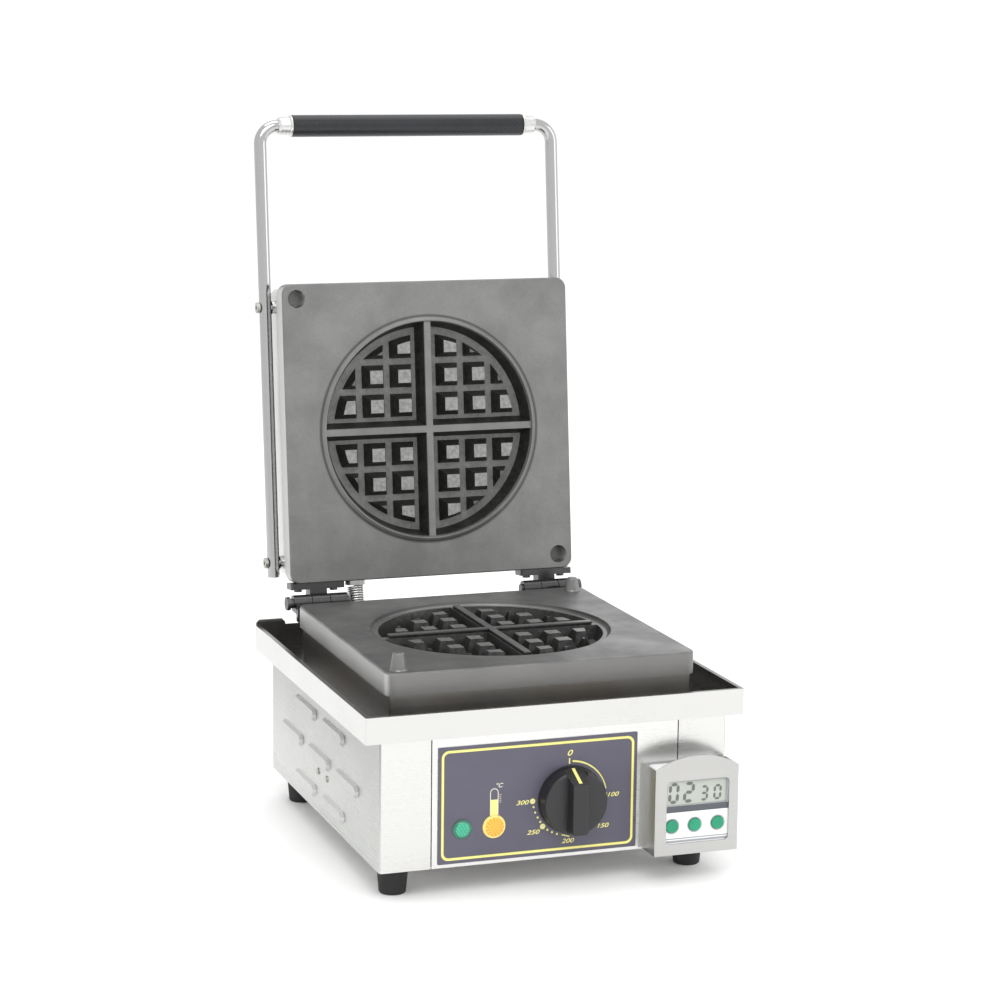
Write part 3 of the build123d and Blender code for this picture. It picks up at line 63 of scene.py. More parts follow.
# ------------------------------------------------------------------ materials
class Mat:
    """A principled material with short helpers for its node tree."""

    def __init__(self, name, color, metallic=0.0, rough=0.5, spec=0.5, coat=0.0, coat_rough=0.1):
        self.m = bpy.data.materials.new(name)
        self.m.use_nodes = True
        self.t = self.m.node_tree
        self.b = self.t.nodes["Principled BSDF"]
        self.b.inputs["Base Color"].default_value = (*color, 1)
        self.b.inputs["Metallic"].default_value = metallic
        self.b.inputs["Roughness"].default_value = rough
        self.b.inputs["Specular IOR Level"].default_value = spec
        self.b.inputs["Coat Weight"].default_value = coat
        self.b.inputs["Coat Roughness"].default_value = coat_rough
        self.coord = self.t.nodes.new("ShaderNodeTexCoord")

    def link(self, a, b):
        self.t.links.new(a, b)

    def vec(self, scale=(1, 1, 1), rot=(0, 0, 0)):
        n = self.t.nodes.new("ShaderNodeMapping")
        n.inputs["Scale"].default_value = scale
        n.inputs["Rotation"].default_value = rot
        self.link(self.coord.outputs["Object"], n.inputs["Vector"])
        return n.outputs["Vector"]

    def noise(self, scale, detail=3.0, stretch=(1, 1, 1), rough=0.5, distort=0.0):
        n = self.t.nodes.new("ShaderNodeTexNoise")
        n.inputs["Scale"].default_value = scale
        n.inputs["Detail"].default_value = detail
        n.inputs["Roughness"].default_value = rough
        n.inputs["Distortion"].default_value = distort
        self.link(self.vec(stretch), n.inputs["Vector"])
        return n.outputs["Fac"]

    def voronoi(self, scale, feature="F1", stretch=(1, 1, 1)):
        n = self.t.nodes.new("ShaderNodeTexVoronoi")
        n.feature = feature
        n.inputs["Scale"].default_value = scale
        self.link(self.vec(stretch), n.inputs["Vector"])
        return n.outputs["Distance"]

    def remap(self, val, a, b, c=0.0, d=1.0, smooth=False):
        n = self.t.nodes.new("ShaderNodeMapRange")
        n.interpolation_type = "SMOOTHSTEP" if smooth else "LINEAR"
        n.inputs["From Min"].default_value = a
        n.inputs["From Max"].default_value = b
        n.inputs["To Min"].default_value = c
        n.inputs["To Max"].default_value = d
        self.link(val, n.inputs["Value"])
        return n.outputs["Result"]

    def math(self, op, a, b=None):
        n = self.t.nodes.new("ShaderNodeMath")
        n.operation = op
        for i, v in enumerate((a, b)):
            if v is None:
                continue
            if isinstance(v, (int, float)):
                n.inputs[i].default_value = v
            else:
                self.link(v, n.inputs[i])
        return n.outputs[0]

    def mix(self, fac, c1, c2, mode="MIX"):
        n = self.t.nodes.new("ShaderNodeMix")
        n.data_type = "RGBA"
        n.blend_type = mode
        if isinstance(fac, (int, float)):
            n.inputs["Factor"].default_value = fac
        else:
            self.link(fac, n.inputs["Factor"])
        for sock, c in ((n.inputs[6], c1), (n.inputs[7], c2)):
            if isinstance(c, tuple):
                sock.default_value = (*c, 1)
            else:
                self.link(c, sock)
        return n.outputs[2]

    def dot(self, direction, output="Object"):
        n = self.t.nodes.new("ShaderNodeVectorMath")
        n.operation = "DOT_PRODUCT"
        n.inputs[1].default_value = tuple(direction)
        self.link(self.coord.outputs[output], n.inputs[0])
        return n.outputs["Value"]

    def color(self, sock):
        self.link(sock, self.b.inputs["Base Color"])
        return self

    def rough(self, sock):
        self.link(sock, self.b.inputs["Roughness"])
        return self

    def bump(self, *layers):
        """layers: (height socket, strength, distance in metres)."""
        last = None
        for h, strength, dist in layers:
            n = self.t.nodes.new("ShaderNodeBump")
            n.inputs["Strength"].default_value = strength
            n.inputs["Distance"].default_value = dist
            self.link(h, n.inputs["Height"])
            if last is not None:
                self.link(last, n.inputs["Normal"])
            last = n.outputs["Normal"]
        self.link(last, self.b.inputs["Normal"])
        return self


def stainless(name, grain, base=(0.79, 0.785, 0.765), rough=0.27, heat=0.0):
    """Brushed stainless sheet. grain: the axis along which it was brushed."""
    m = Mat(name, base, metallic=1.0, rough=rough)
    st = {"x": (5, 900, 900), "y": (900, 5, 900), "z": (900, 900, 5)}[grain]
    lines = m.noise(1.0, 4, st, 0.6)
    if grain == "y":                # the parts folded round to the front are brushed across
        turn = m.math("GREATER_THAN", m.math("ABSOLUTE", m.dot((0, 1, 0), "Normal")), 0.7)
        other = m.noise(1.0, 4, (5, 900, 900), 0.6)
        lines = m.math("ADD", m.math("MULTIPLY", other, turn), m.math("MULTIPLY", lines, m.math("SUBTRACT", 1.0, turn)))
    fine = lines if grain == "y" else m.noise(1.0, 2, tuple(v * 2.3 for v in st), 0.5)
    smudge = m.noise(14, 4, rough=0.6)
    c = m.mix(m.remap(lines, 0.35, 0.65), tuple(v * 0.982 for v in base), tuple(min(1, v * 1.012) for v in base))
    c = m.mix(m.remap(smudge, 0.45, 0.75, 0, 0.06), c, tuple(v * 0.80 for v in base))
    if heat:
        c = m.mix(m.remap(m.noise(9, 3), 0.4, 0.7, 0, heat), c, (0.32, 0.24, 0.16))
    m.last = c
    m.color(c)
    r = m.math("ADD", m.remap(lines, 0.3, 0.7, rough - 0.03, rough + 0.03), m.remap(smudge, 0.4, 0.7, -0.02, 0.04))
    m.rough(r)
    m.bump((lines, 0.018, 0.00004), (fine, 0.015, 0.00002))
    return m


def cast(name, dark, light, rough=0.42, metallic=0.65, pits=1.0):
    """Cast iron: fine pitted skin and blotches of seasoning."""
    m = Mat(name, light, metallic=metallic, rough=rough)
    blotch = m.noise(24, 5, rough=0.62)
    skin = m.noise(1500, 3, rough=0.7)
    grain = m.voronoi(1900)
    c = m.mix(m.remap(blotch, 0.35, 0.68), dark, light)
    c = m.mix(m.remap(skin, 0.30, 0.62, 0.30, 0.0), c, (0.05, 0.05, 0.05))
    m.rough(m.math("ADD", m.remap(blotch, 0.3, 0.7, rough + 0.06, rough - 0.06), m.remap(skin, 0.3, 0.7, 0.05, -0.03)))
    m.bump((skin, 0.30 * pits, 0.00018), (grain, 0.22 * pits, 0.00014), (m.noise(160, 4), 0.16 * pits, 0.00045))
    m.last = c
    return m


def mould_colours(m, depth, facing, across, along, sides):
    """Plate-grey floor inside the mould, its walls darkened as painted shade, lighter peg tops, partly worn bare
    and partly painted light, a painted shade line outside its ridge, and the plate's outer side faces recoloured as
    painted light."""
    r = m.math("SQRT", m.math("ADD", m.math("MULTIPLY", across, across), m.math("MULTIPLY", along, along)))
    mould = m.remap(r, 0.0935, 0.0927, 0, 1)
    below = m.math("MULTIPLY", mould, m.remap(depth, -0.0006, -0.0014, 0, 1))
    flat = m.remap(facing, 0.90, 0.97, 0, 1)
    wall = m.remap(facing, 0.80, 0.62, 0, 1)
    top = m.math("MULTIPLY", m.remap(depth, -0.0050, -0.0043, 0, 1), flat)
    tall = m.remap(depth, -0.0034, -0.0028, 0, 1)
    grime_and_shade = m.noise(260, 4, rough=0.7)
    # painted shade: a dark ring is painted in the groove just outside the mould's ridge
    c = m.mix(m.math("MULTIPLY", m.remap(r, 0.0975, 0.0962, 0, 1), m.remap(r, 0.0942, 0.0952, 0, 0.72)), m.last, (0.04, 0.04, 0.038))
    c = m.mix(below, c, m.mix(m.remap(grime_and_shade, 0.3, 0.7), (0.125, 0.124, 0.120), (0.20, 0.20, 0.193)))
    # painted shade: the mould's walls are darkened nearly to black, blotched by the same noise
    c = m.mix(m.math("MULTIPLY", below, wall), c,
              m.mix(m.remap(grime_and_shade, 0.35, 0.7), (0.020, 0.020, 0.020), (0.055, 0.054, 0.052)))
    # peg tops: the tall ones lighter, partly worn bare metal and partly painted light; the low peg tops darker as
    # painted shade
    peg_top_wear_and_light = m.mix(m.remap(m.noise(330, 4), 0.35, 0.65), (0.20, 0.202, 0.197), (0.31, 0.31, 0.302))
    peg_top_wear_and_light = m.mix(tall, (0.12, 0.12, 0.118), peg_top_wear_and_light)
    c = m.mix(m.math("MULTIPLY", top, below), c, peg_top_wear_and_light)
    # painted light and shade: the plate's outer side faces are recoloured with a fixed grey per side
    rim = m.math("MULTIPLY", m.remap(r, 0.108, 0.112, 0, 1), m.remap(facing, 0.45, 0.25, 0, 1))
    for mask, colour in sides:
        c = m.mix(m.math("MULTIPLY", rim, mask), c, colour)
    m.color(c)
    return m


def plastic(name, color, rough=0.4, grain=900, depth=0.00004, vary=0.12, coat=0.0, spec=0.5):
    m = Mat(name, color, rough=rough, coat=coat, spec=spec)
    n = m.noise(grain, 3, rough=0.6)
    soft = m.noise(40, 3)
    c = m.mix(m.remap(soft, 0.35, 0.7), tuple(v * (1 - vary) for v in color), tuple(min(1, v * (1 + vary)) for v in color))
    m.color(m.mix(m.remap(n, 0.35, 0.7, 0.0, 0.18), c, tuple(v * 0.6 for v in color)))
    m.rough(m.math("ADD", m.remap(n, 0.3, 0.7, rough - 0.05, rough + 0.06), m.remap(soft, 0.3, 0.7, -0.03, 0.03)))
    m.bump((n, 0.35, depth))
    return m


def metal(name, color, rough=0.3, grain=600, tint=None, vary=1.0):
    m = Mat(name, color, metallic=1.0, rough=rough)
    n = m.noise(grain, 4, rough=0.6)
    soft = m.noise(60, 4)
    c = m.mix(m.remap(n, 0.3, 0.7), tuple(v * (1 - 0.14 * vary) for v in color), tuple(min(1, v * (1 + 0.08 * vary)) for v in color))
    if tint:
        c = m.mix(m.remap(soft, 0.42, 0.68, 0, 0.7), c, tint)
    m.color(c)
    m.rough(m.math("ADD", m.remap(n, 0.3, 0.7, rough - 0.05 * vary, rough + 0.07 * vary), m.remap(soft, 0.3, 0.7, -0.03 * vary, 0.05 * vary)))
    m.bump((n, 0.12 * vary, 0.00005))
    return m


def radial(m, cx, cz):
    """Distance from an axis along Y, in metres, and the angle about it."""
    x = m.math("SUBTRACT", m.dot((1, 0, 0)), cx)
    z = m.math("SUBTRACT", m.dot((0, 0, 1)), cz)
    r = m.math("SQRT", m.math("ADD", m.math("MULTIPLY", x, x), m.math("MULTIPLY", z, z)))
    return r, m.math("ARCTAN2", z, x)


def lens(name, cx, cz, r_in, core, core2, rim, glow):
    m = Mat(name, core, rough=0.16, coat=0.6, coat_rough=0.05)
    r, a = radial(m, cx * MM, cz * MM)
    facets = m.math("SINE", m.math("MULTIPLY", a, 14.0))
    cross = m.math("SINE", m.math("MULTIPLY", m.dot((2600, 0, 1500)), 1.0))
    c = m.mix(m.remap(m.math("ADD", facets, cross), -1.2, 1.2), core2, core)
    c = m.mix(m.remap(r, (r_in - 0.5) * MM, (r_in + 0.1) * MM), c, rim)
    m.color(c)
    m.link(c, m.b.inputs["Emission Color"])
    m.b.inputs["Emission Strength"].default_value = glow
    m.b.inputs["Transmission Weight"].default_value = 0.12
    m.bump((facets, 0.35, 0.0002), (cross, 0.30, 0.00012))
    return m


# painted light: these are one brushed stainless, and their base colours differ per part as painted light and shade. The
# front panels are lightest, the side panels, tray, lid casing and timer holder darker, and the skirt darkest
steel_x = stainless("stainless_front", "x", base=(0.71, 0.705, 0.692))
steel_y = stainless("stainless_side", "y", base=(0.56, 0.565, 0.55))
# painted light and shade: on the side panels, the faces not turned to ±X get a fixed lighter grey, and the faces turned
# to ±X darken towards the top as painted shade
flank_painted_light = steel_y.math("GREATER_THAN", steel_y.math("ABSOLUTE", steel_y.dot((1, 0, 0), "Normal")), 0.5)
steel_y.color(steel_y.mix(flank_painted_light, (0.66, 0.657, 0.645),
                          steel_y.mix(steel_y.remap(steel_y.dot((0, 0, 1)), 0.035, 0.125, 0, 1.0), steel_y.last, (0.33, 0.335, 0.326))))
steel_tray = stainless("stainless_tray", "x", base=(0.62, 0.617, 0.605), rough=0.24)
ty = [(nodes["drip_tray"].matrix_world @ v.co).y for v in nodes["drip_tray"].data.vertices]
# painted shade: the inside of the drip tray, away from its edges and below its rim, is darkened
tray_inside_shade = steel_tray.math("MULTIPLY",
                          steel_tray.math("MULTIPLY", steel_tray.remap(steel_tray.dot((0, 1, 0)), min(ty) + 0.0006, min(ty) + 0.0009, 0, 1),
                                          steel_tray.remap(steel_tray.dot((0, 1, 0)), max(ty) - 0.0006, max(ty) - 0.0009, 0, 1)),
                          steel_tray.math("MULTIPLY", steel_tray.remap(steel_tray.dot((1, 0, 0)), -0.1519, -0.1516, 0, 1),
                                          steel_tray.remap(steel_tray.dot((1, 0, 0)), 0.1519, 0.1516, 0, 1)))
tray_inside_shade = steel_tray.math("MULTIPLY", tray_inside_shade, steel_tray.remap(steel_tray.dot((0, 0, 1)), 0.1505, 0.1480, 0, 1))
tray_inside_shade = steel_tray.math("MULTIPLY", tray_inside_shade, steel_tray.remap(steel_tray.dot((0, 0, 1), "Normal"), -0.5, -0.3, 0, 1))
steel_tray.color(steel_tray.mix(tray_inside_shade, steel_tray.last, (0.20, 0.197, 0.190)))
steel_lid = stainless("stainless_lid", "z", base=(0.60, 0.597, 0.58), rough=0.30)
# the skirt's darker base is partly heat tint and partly painted shade under the lower plate
steel_skirt_heat_and_shade = stainless("stainless_skirt", "x", base=(0.43, 0.42, 0.405), rough=0.36, heat=0.4)
steel_timer = stainless("stainless_timer_holder", "x", base=(0.49, 0.487, 0.477), rough=0.33)

up = cast("cast_upper", (0.185, 0.188, 0.182), (0.245, 0.248, 0.24), rough=0.46, metallic=0.55)
# painted light: the upper plate's left side face is given a light grey
mould_colours(up, up.math("SUBTRACT", up.dot(OUT), LID0.dot(OUT)), up.dot(OUT, "Normal"), up.dot((1, 0, 0)),
              up.math("SUBTRACT", up.dot(UP), LID0.dot(UP) + 125 * MM),
              [(up.remap(up.dot((-1, 0, 0), "Normal"), 0.6, 0.9, 0, 1), (0.56, 0.56, 0.55))])
# painted light: the lower plate's left side face is given a light grey, and its front face a mid grey
low = cast("cast_lower", (0.15, 0.153, 0.15), (0.25, 0.253, 0.247), rough=0.38, metallic=0.7, pits=0.8)
mould_colours(low, low.math("SUBTRACT", low.dot((0, 0, 1)), LOW_TOP), low.dot((0, 0, 1), "Normal"), low.dot((1, 0, 0)),
              low.math("SUBTRACT", low.dot((0, 1, 0)), -28.5 * MM),
              [(low.remap(low.dot((-1, 0, 0), "Normal"), 0.6, 0.9, 0, 1), (0.44, 0.44, 0.43)),
               (low.remap(low.dot((0, -1, 0), "Normal"), 0.6, 0.9, 0, 1), (0.22, 0.217, 0.211))])
pin_iron = cast("cast_pin", (0.17, 0.17, 0.167), (0.26, 0.26, 0.255), rough=0.33)
pin_iron.color(pin_iron.last)

chrome = metal("chrome", (0.45, 0.453, 0.452), rough=0.10, grain=300, vary=0.15)
hinge_steel = metal("hinge_steel", (0.085, 0.085, 0.086), rough=0.24, grain=500, vary=0.8)
satin = metal("satin_steel", (0.66, 0.66, 0.65), rough=0.28, grain=900)
zinc = metal("zinc_steel", (0.50, 0.50, 0.49), rough=0.36, grain=800, tint=(0.42, 0.40, 0.35))
dark_zinc = metal("dark_screw", (0.12, 0.12, 0.12), rough=0.38, grain=800)
sheath = metal("element_sheath", (0.30, 0.27, 0.25), rough=0.5, grain=500, tint=(0.16, 0.15, 0.19))
brass = metal("brass", (0.72, 0.52, 0.22), rough=0.28, grain=500, tint=(0.5, 0.36, 0.18))
grip_mat = plastic("grip_black", (0.014, 0.015, 0.018), rough=0.30, grain=700, depth=0.00006, spec=0.42)
knob_mat = plastic("knob_black", (0.017, 0.017, 0.019), rough=0.36, grain=1200, depth=0.00005)
rubber = plastic("rubber", (0.018, 0.018, 0.018), rough=0.75, grain=1000, depth=0.00012)
label_mat = plastic("label_violet", (0.095, 0.090, 0.126), rough=0.42, grain=2200, depth=0.00003, vary=0.05)
print_mat = plastic("print_yellow", (0.86, 0.80, 0.26), rough=0.5, grain=2600, depth=0.00001, vary=0.05)
olive_mat = plastic("print_olive", (0.20, 0.185, 0.075), rough=0.5, grain=2600, depth=0.00001, vary=0.05)
pale_mat = plastic("print_pale", (0.72, 0.69, 0.55), rough=0.5, grain=2600, depth=0.00001, vary=0.05)
white_mat = plastic("timer_white", (0.84, 0.85, 0.86), rough=0.34, grain=1500, depth=0.00002, vary=0.03)
lcd_mat = plastic("lcd_grey", (0.44, 0.47, 0.42), rough=0.14, grain=4000, depth=0.000004, vary=0.06, coat=0.5)
seg_mat = plastic("lcd_segment", (0.13, 0.14, 0.125), rough=0.3, grain=3000, depth=0.000004, vary=0.05)
band_mat = plastic("band_grey", (0.085, 0.095, 0.11), rough=0.4, grain=2500, depth=0.00001, vary=0.06)
stripe_mat = plastic("stripe_grey", (0.33, 0.34, 0.36), rough=0.4, grain=2500, depth=0.00001, vary=0.06)
button_mat = plastic("button_green", (0.010, 0.30, 0.155), rough=0.42, grain=1400, depth=0.00008, vary=0.15)
board_mat = plastic("board_green", (0.03, 0.18, 0.08), rough=0.35, grain=1400, depth=0.00003)
fibre = plastic("mineral_board", (0.66, 0.63, 0.56), rough=0.9, grain=500, depth=0.0004, vary=0.1)
ceramic = plastic("ceramic", (0.80, 0.78, 0.73), rough=0.22, grain=700, depth=0.00003, vary=0.04)
switch_mat = plastic("switch_black", (0.045, 0.045, 0.048), rough=0.45, grain=1000, depth=0.00006)
green_lens = lens("lens_green", -75.4, 53.2, 5.7, (0.04, 0.50, 0.30), (0.015, 0.30, 0.17), (0.008, 0.16, 0.085), 0.10)
orange_lens = lens("lens_orange", -49.9, 53.0, 7.6, (1.0, 0.52, 0.05), (0.88, 0.32, 0.02), (0.90, 0.66, 0.20), 0.16)

FINISH = {
    steel_x: ["front_panel", "rear_panel", "bottom_plate"],
    steel_y: ["side_panel_left", "side_panel_right"],
    steel_tray: ["drip_tray"],
    steel_lid: ["lid_casing"],
    steel_skirt_heat_and_shade: ["heater_skirt"],
    steel_timer: ["timer_holder"],
    up: ["upper_plate"], low: ["lower_plate"], pin_iron: ["locating_pins"],
    hinge_steel: ["hinge_lugs", "hinge_arms"],
    chrome: ["handle_rod"], satin: ["grip_ferrules", "handle_spacers", "timer_battery", "thermostat_shaft"],
    zinc: ["foot_screws", "panel_screws", "lower_element_clamp", "upper_element_clamp", "casing_screws",
           "handle_screws", "conduit_socket", "lid_conduit"],
    dark_zinc: ["hinge_pins", "arm_screws", "lug_screws"],
    sheath: ["lower_element", "upper_element"],
    brass: ["lower_clamp_stud", "upper_clamp_stud", "conduit_gland", "thermostat_bulb"],
    grip_mat: ["handle_grip"], knob_mat: ["thermostat_knob"], rubber: ["rubber_feet"],
    label_mat: ["control_label"], print_mat: ["knob_pointer"], white_mat: ["timer_case_front", "timer_case_back"],
    lcd_mat: ["timer_display"],
    button_mat: ["timer_button_left", "timer_button_middle", "timer_button_right"],
    board_mat: ["timer_circuit_board"], fibre: ["lower_insulation", "upper_insulation"],
    ceramic: ["terminal_block"], switch_mat: ["thermostat_body", "lamp_housings", "cable_gland", "gland_nut"],
    green_lens: ["green_lamp"], orange_lens: ["orange_lamp"],
}
done = set()
for mat, names in FINISH.items():
    for n in names:
        o = nodes[n]
        o.data.materials.clear()
        o.data.materials.append(mat.m)
        done.add(n)
missing = sorted(set(nodes) - done)
if missing:
    raise RuntimeError(f"no finish for {missing}")


# ------------------------------------------------------------- mesh helpers
def finish_mesh(name, bm, mat, body, smooth=False):
    bmesh.ops.recalc_face_normals(bm, faces=bm.faces)
    me = bpy.data.meshes.new(name)
    bm.to_mesh(me)
    bm.free()
    if smooth:
        me.polygons.foreach_set("use_smooth", [True] * len(me.polygons))
    me.materials.append(mat.m)
    o = bpy.data.objects.new(name, me)
    scene.collection.objects.link(o)
    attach(o, body)
    return o


def sheet_piece(name, shapes, y, t, mat, body):
    """Thin printed or cut shapes on a plane that faces -Y. A shape is an outer
    loop of (x, z) in mm, or a pair of loops of equal length for a ring."""
    bm = bmesh.new()
    for shape in shapes:
        ring = isinstance(shape[0][0], (tuple, list))
        outer, inner = shape if ring else (shape, None)

        def put(loop, yy):
            return [bm.verts.new((x * MM, yy * MM, z * MM)) for x, z in loop]
        fo, bo = put(outer, y - t), put(outer, y)
        n = len(outer)
        if ring:
            fi, bi = put(inner, y - t), put(inner, y)
            for i in range(n):
                j = (i + 1) % n
                bm.faces.new((fo[i], fo[j], fi[j], fi[i]))
                bm.faces.new((bo[j], bo[i], bi[i], bi[j]))
                bm.faces.new((fo[j], fo[i], bo[i], bo[j]))
                bm.faces.new((fi[i], fi[j], bi[j], bi[i]))
        else:
            bm.faces.new(fo)
            bm.faces.new(list(reversed(bo)))
            for i in range(n):
                j = (i + 1) % n
                bm.faces.new((fo[j], fo[i], bo[i], bo[j]))
    return finish_mesh(name, bm, mat, body)


def circle(cx, cz, r, n=32):
    return [(cx + r * math.cos(2 * math.pi * i / n), cz + r * math.sin(2 * math.pi * i / n)) for i in range(n)]


def rounded(x0, z0, x1, z1, r, k=8):
    pts = []
    for cx, cz, a0 in ((x1 - r, z1 - r, 0), (x0 + r, z1 - r, 90), (x0 + r, z0 + r, 180), (x1 - r, z0 + r, 270)):
        for i in range(k + 1):
            a = math.radians(a0 + 90 * i / k)
            pts.append((cx + r * math.cos(a), cz + r * math.sin(a)))
    return pts


def band(points, widths):
    """A strip of changing width along a line of (x, z) points."""
    left, right = [], []
    for i, (x, z) in enumerate(points):
        a = points[max(0, i - 1)]
        b = points[min(len(points) - 1, i + 1)]
        dx, dz = b[0] - a[0], b[1] - a[1]
        d = math.hypot(dx, dz)
        w = (widths[i] if isinstance(widths, list) else widths) / 2
        left.append((x - dz / d * w, z + dx / d * w))
        right.append((x + dz / d * w, z - dx / d * w))
    return left + right[::-1]


def digits(name, text, cx, cz, height, stretch, lean, mat, body, y):
    """Plain numbers from curves, turned into a mesh that faces -Y."""
    cu = bpy.data.curves.new(name + "_curve", "FONT")
    cu.body = text
    cu.align_x = "CENTER"
    cu.align_y = "CENTER"
    cu.shear = lean
    cu.size = 1.0
    cu.extrude = 0.01
    cu.offset = 0.012
    tmp = bpy.data.objects.new(name + "_tmp", cu)
    scene.collection.objects.link(tmp)
    bpy.context.view_layer.update()
    me = bpy.data.meshes.new_from_object(tmp.evaluated_get(bpy.context.evaluated_depsgraph_get()))
    bpy.data.objects.remove(tmp)
    xs = [v.co.x for v in me.vertices]
    ys = [v.co.y for v in me.vertices]
    s = height / (max(ys) - min(ys))
    mx, my = (max(xs) + min(xs)) / 2, (max(ys) + min(ys)) / 2
    for v in me.vertices:
        front = v.co.z > 0
        v.co = Vector(((cx + (v.co.x - mx) * s * stretch) * MM, (y - (0.06 if front else 0.0)) * MM,
                       (cz + (v.co.y - my) * s) * MM))
    me.name = name
    me.materials.clear()
    me.materials.append(mat.m)
    o = bpy.data.objects.new(name, me)
    scene.collection.objects.link(o)
    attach(o, body)
    return o


# ------------------------------------------------------------ control label
X0, X1, Z0, Z1 = -94.5, 65.6, 26.8, 117.4


def inset(d, r):
    return rounded(X0 + d, Z0 + d, X1 - d, Z1 - d, r)


sheet_piece("label_frame_line", [(inset(2.7, 5.6), inset(4.5, 4.2))], LABEL_Y, 0.06, print_mat, "base")
sheet_piece("label_frame_edge", [(inset(2.35, 5.9), inset(2.68, 5.62)), (inset(4.52, 4.18), inset(4.9, 3.9))],
            LABEL_Y, 0.05, olive_mat, "base")

for tag, text, x, z, h in (("0", "0", 10.8, 105.4, 4.5), ("100", "100", 46.6, 69.8, 3.5), ("150", "150", 38.6, 45.8, 3.5),
                           ("200", "200", 9.9, 36.3, 3.5), ("250", "250", -18.3, 45.6, 3.5),
                           ("300", "300", -27.2, 69.6, 3.5)):
    digits("dial_number_" + tag, text, x, z, h, 1.35, 0.30, print_mat, "base", LABEL_Y)

CX, CZ = 11.2, 69.3
arc, widths = [], []
for i in range(25):
    a = math.radians(87 - 76 * i / 24)
    arc.append((CX + 29.6 * math.cos(a), CZ + 29.4 * math.sin(a)))
    widths.append(1.45 - 0.65 * i / 24)
marks = [band(arc, widths), band([(10.2, 96.8), (10.2, 101.2)], 1.1), band([(40.9, 68.0), (40.9, 71.6)], 0.8),
         band([(34.6, 46.9), (36.2, 46.0)], 0.8),
         band([(4.6, 41.5), (11.0, 39.6)], 0.9)]
for x, z in ((-18.3, 65.3), (-17.0, 60.9), (-15.0, 56.8), (-12.8, 53.2), (-6.9, 46.4), (-3.2, 44.2), (0.9, 42.4)):
    marks.append(circle(x, z, 0.85, 16))
sheet_piece("dial_marks", marks, LABEL_Y, 0.06, print_mat, "base")
sheet_piece("dial_rings", [(circle(-19.2, 69.9, 2.15), circle(-19.2, 69.9, 1.05)),
                           (circle(-10.8, 49.4, 2.15), circle(-10.8, 49.4, 1.05))], LABEL_Y, 0.06, print_mat, "base")
sheet_piece("dial_ring_centres", [circle(-19.2, 69.9, 1.0, 20), circle(-10.8, 49.4, 1.0, 20)], LABEL_Y, 0.05, pale_mat, "base")

# small thermometer over the orange lamp
tube = [(-53.3, 60.5), (-46.6, 60.5)] + [(-49.95 + 3.35 * math.cos(math.radians(a)), 79.4 + 3.35 * math.sin(math.radians(a)))
                                        for a in range(0, 181, 15)]
tube_in = [(-52.7, 60.6), (-47.2, 60.6)] + [(-49.95 + 2.75 * math.cos(math.radians(a)), 79.4 + 2.75 * math.sin(math.radians(a)))
                                           for a in range(0, 181, 15)]
sheet_piece("thermometer_outline", [(tube, tube_in)], LABEL_Y, 0.05, pale_mat, "base")
sheet_piece("thermometer_column", [[(-52.7, 60.7), (-47.2, 60.7), (-47.2, 73.9), (-52.7, 73.9)]], LABEL_Y, 0.06, print_mat, "base")
sheet_piece("thermometer_scale", [band([(-45.9, z), (-44.4, z)], 0.4) for z in (71.6, 73.1, 74.6, 76.1, 77.6)],
            LABEL_Y, 0.05, pale_mat, "base")
sheet_piece("thermometer_bulb_ring", [(circle(-49.9, 53.0, 9.1, 48), circle(-49.9, 53.0, 8.5, 48))], LABEL_Y, 0.05, print_mat, "base")
digits("thermometer_unit", "°C", -45.6, 84.9, 3.6, 1.1, 0.25, pale_mat, "base", LABEL_Y)

# -------------------------------------------------------------------- timer
sheet_piece("timer_band", [[(80.4, 57.4), (133.4, 57.4), (133.4, 62.4), (80.4, 62.4)]], CASE_Y, 0.12, band_mat, "base")
sheet_piece("timer_stripes", [band([(80.4, 36.6), (133.4, 36.6)], 0.9), band([(80.4, 34.4), (133.4, 34.4)], 1.6)],
            CASE_Y, 0.08, stripe_mat, "base")
sheet_piece("timer_button_rims", [(circle(x, 46.7, 6.1, 40), circle(x, 46.7, 5.55, 40)) for x in (86.4, 105.2, 124.2)],
            CASE_Y, 0.10, stripe_mat, "base")


def seven(x0, z0, w, h, on, t, slant=0.06):
    """Seven-segment figure, as bars with pointed ends."""
    g = t * 0.16

    def bar(ax, az, bx, bz):
        L = math.hypot(bx - ax, bz - az)
        ux, uz = (bx - ax) / L, (bz - az) / L
        ax, az, bx, bz = ax + ux * g, az + uz * g, bx - ux * g, bz - uz * g
        p = [(ax, az), (ax + ux * t / 2 - uz * t / 2, az + uz * t / 2 + ux * t / 2),
             (bx - ux * t / 2 - uz * t / 2, bz - uz * t / 2 + ux * t / 2), (bx, bz),
             (bx - ux * t / 2 + uz * t / 2, bz - uz * t / 2 - ux * t / 2),
             (ax + ux * t / 2 + uz * t / 2, az + uz * t / 2 - ux * t / 2)]
        return [(x + (z - z0) * slant, z) for x, z in p]
    l, r, b, m, u = x0 + t / 2, x0 + w - t / 2, z0 + t / 2, z0 + h / 2, z0 + h - t / 2
    seg = {"a": (l, u, r, u), "b": (r, m, r, u), "c": (r, b, r, m), "d": (l, b, r, b), "e": (l, b, l, m),
           "f": (l, m, l, u), "g": (l, m, r, m)}
    return [bar(*seg[s]) for s in on]


segs = seven(82.9, 64.2, 8.8, 16.4, "abcdef", 2.6) + seven(95.2, 64.2, 9.2, 16.4, "abged", 2.6)
segs += seven(109.2, 64.6, 6.8, 12.2, "abgcd", 2.0) + seven(120.3, 64.6, 6.8, 12.2, "abcdef", 2.0)
sheet_piece("lcd_figures", segs, LCD_Y, 0.05, seg_mat, "base")
# dark moulded edge round the display opening
sheet_piece("timer_display_edge", [(rounded(81.2, 62.5, 132.6, 81.9, 0.8, 3), rounded(82.0, 62.9, 131.2, 81.4, 0.5, 3))],
            CASE_Y, 0.10, stripe_mat, "base")


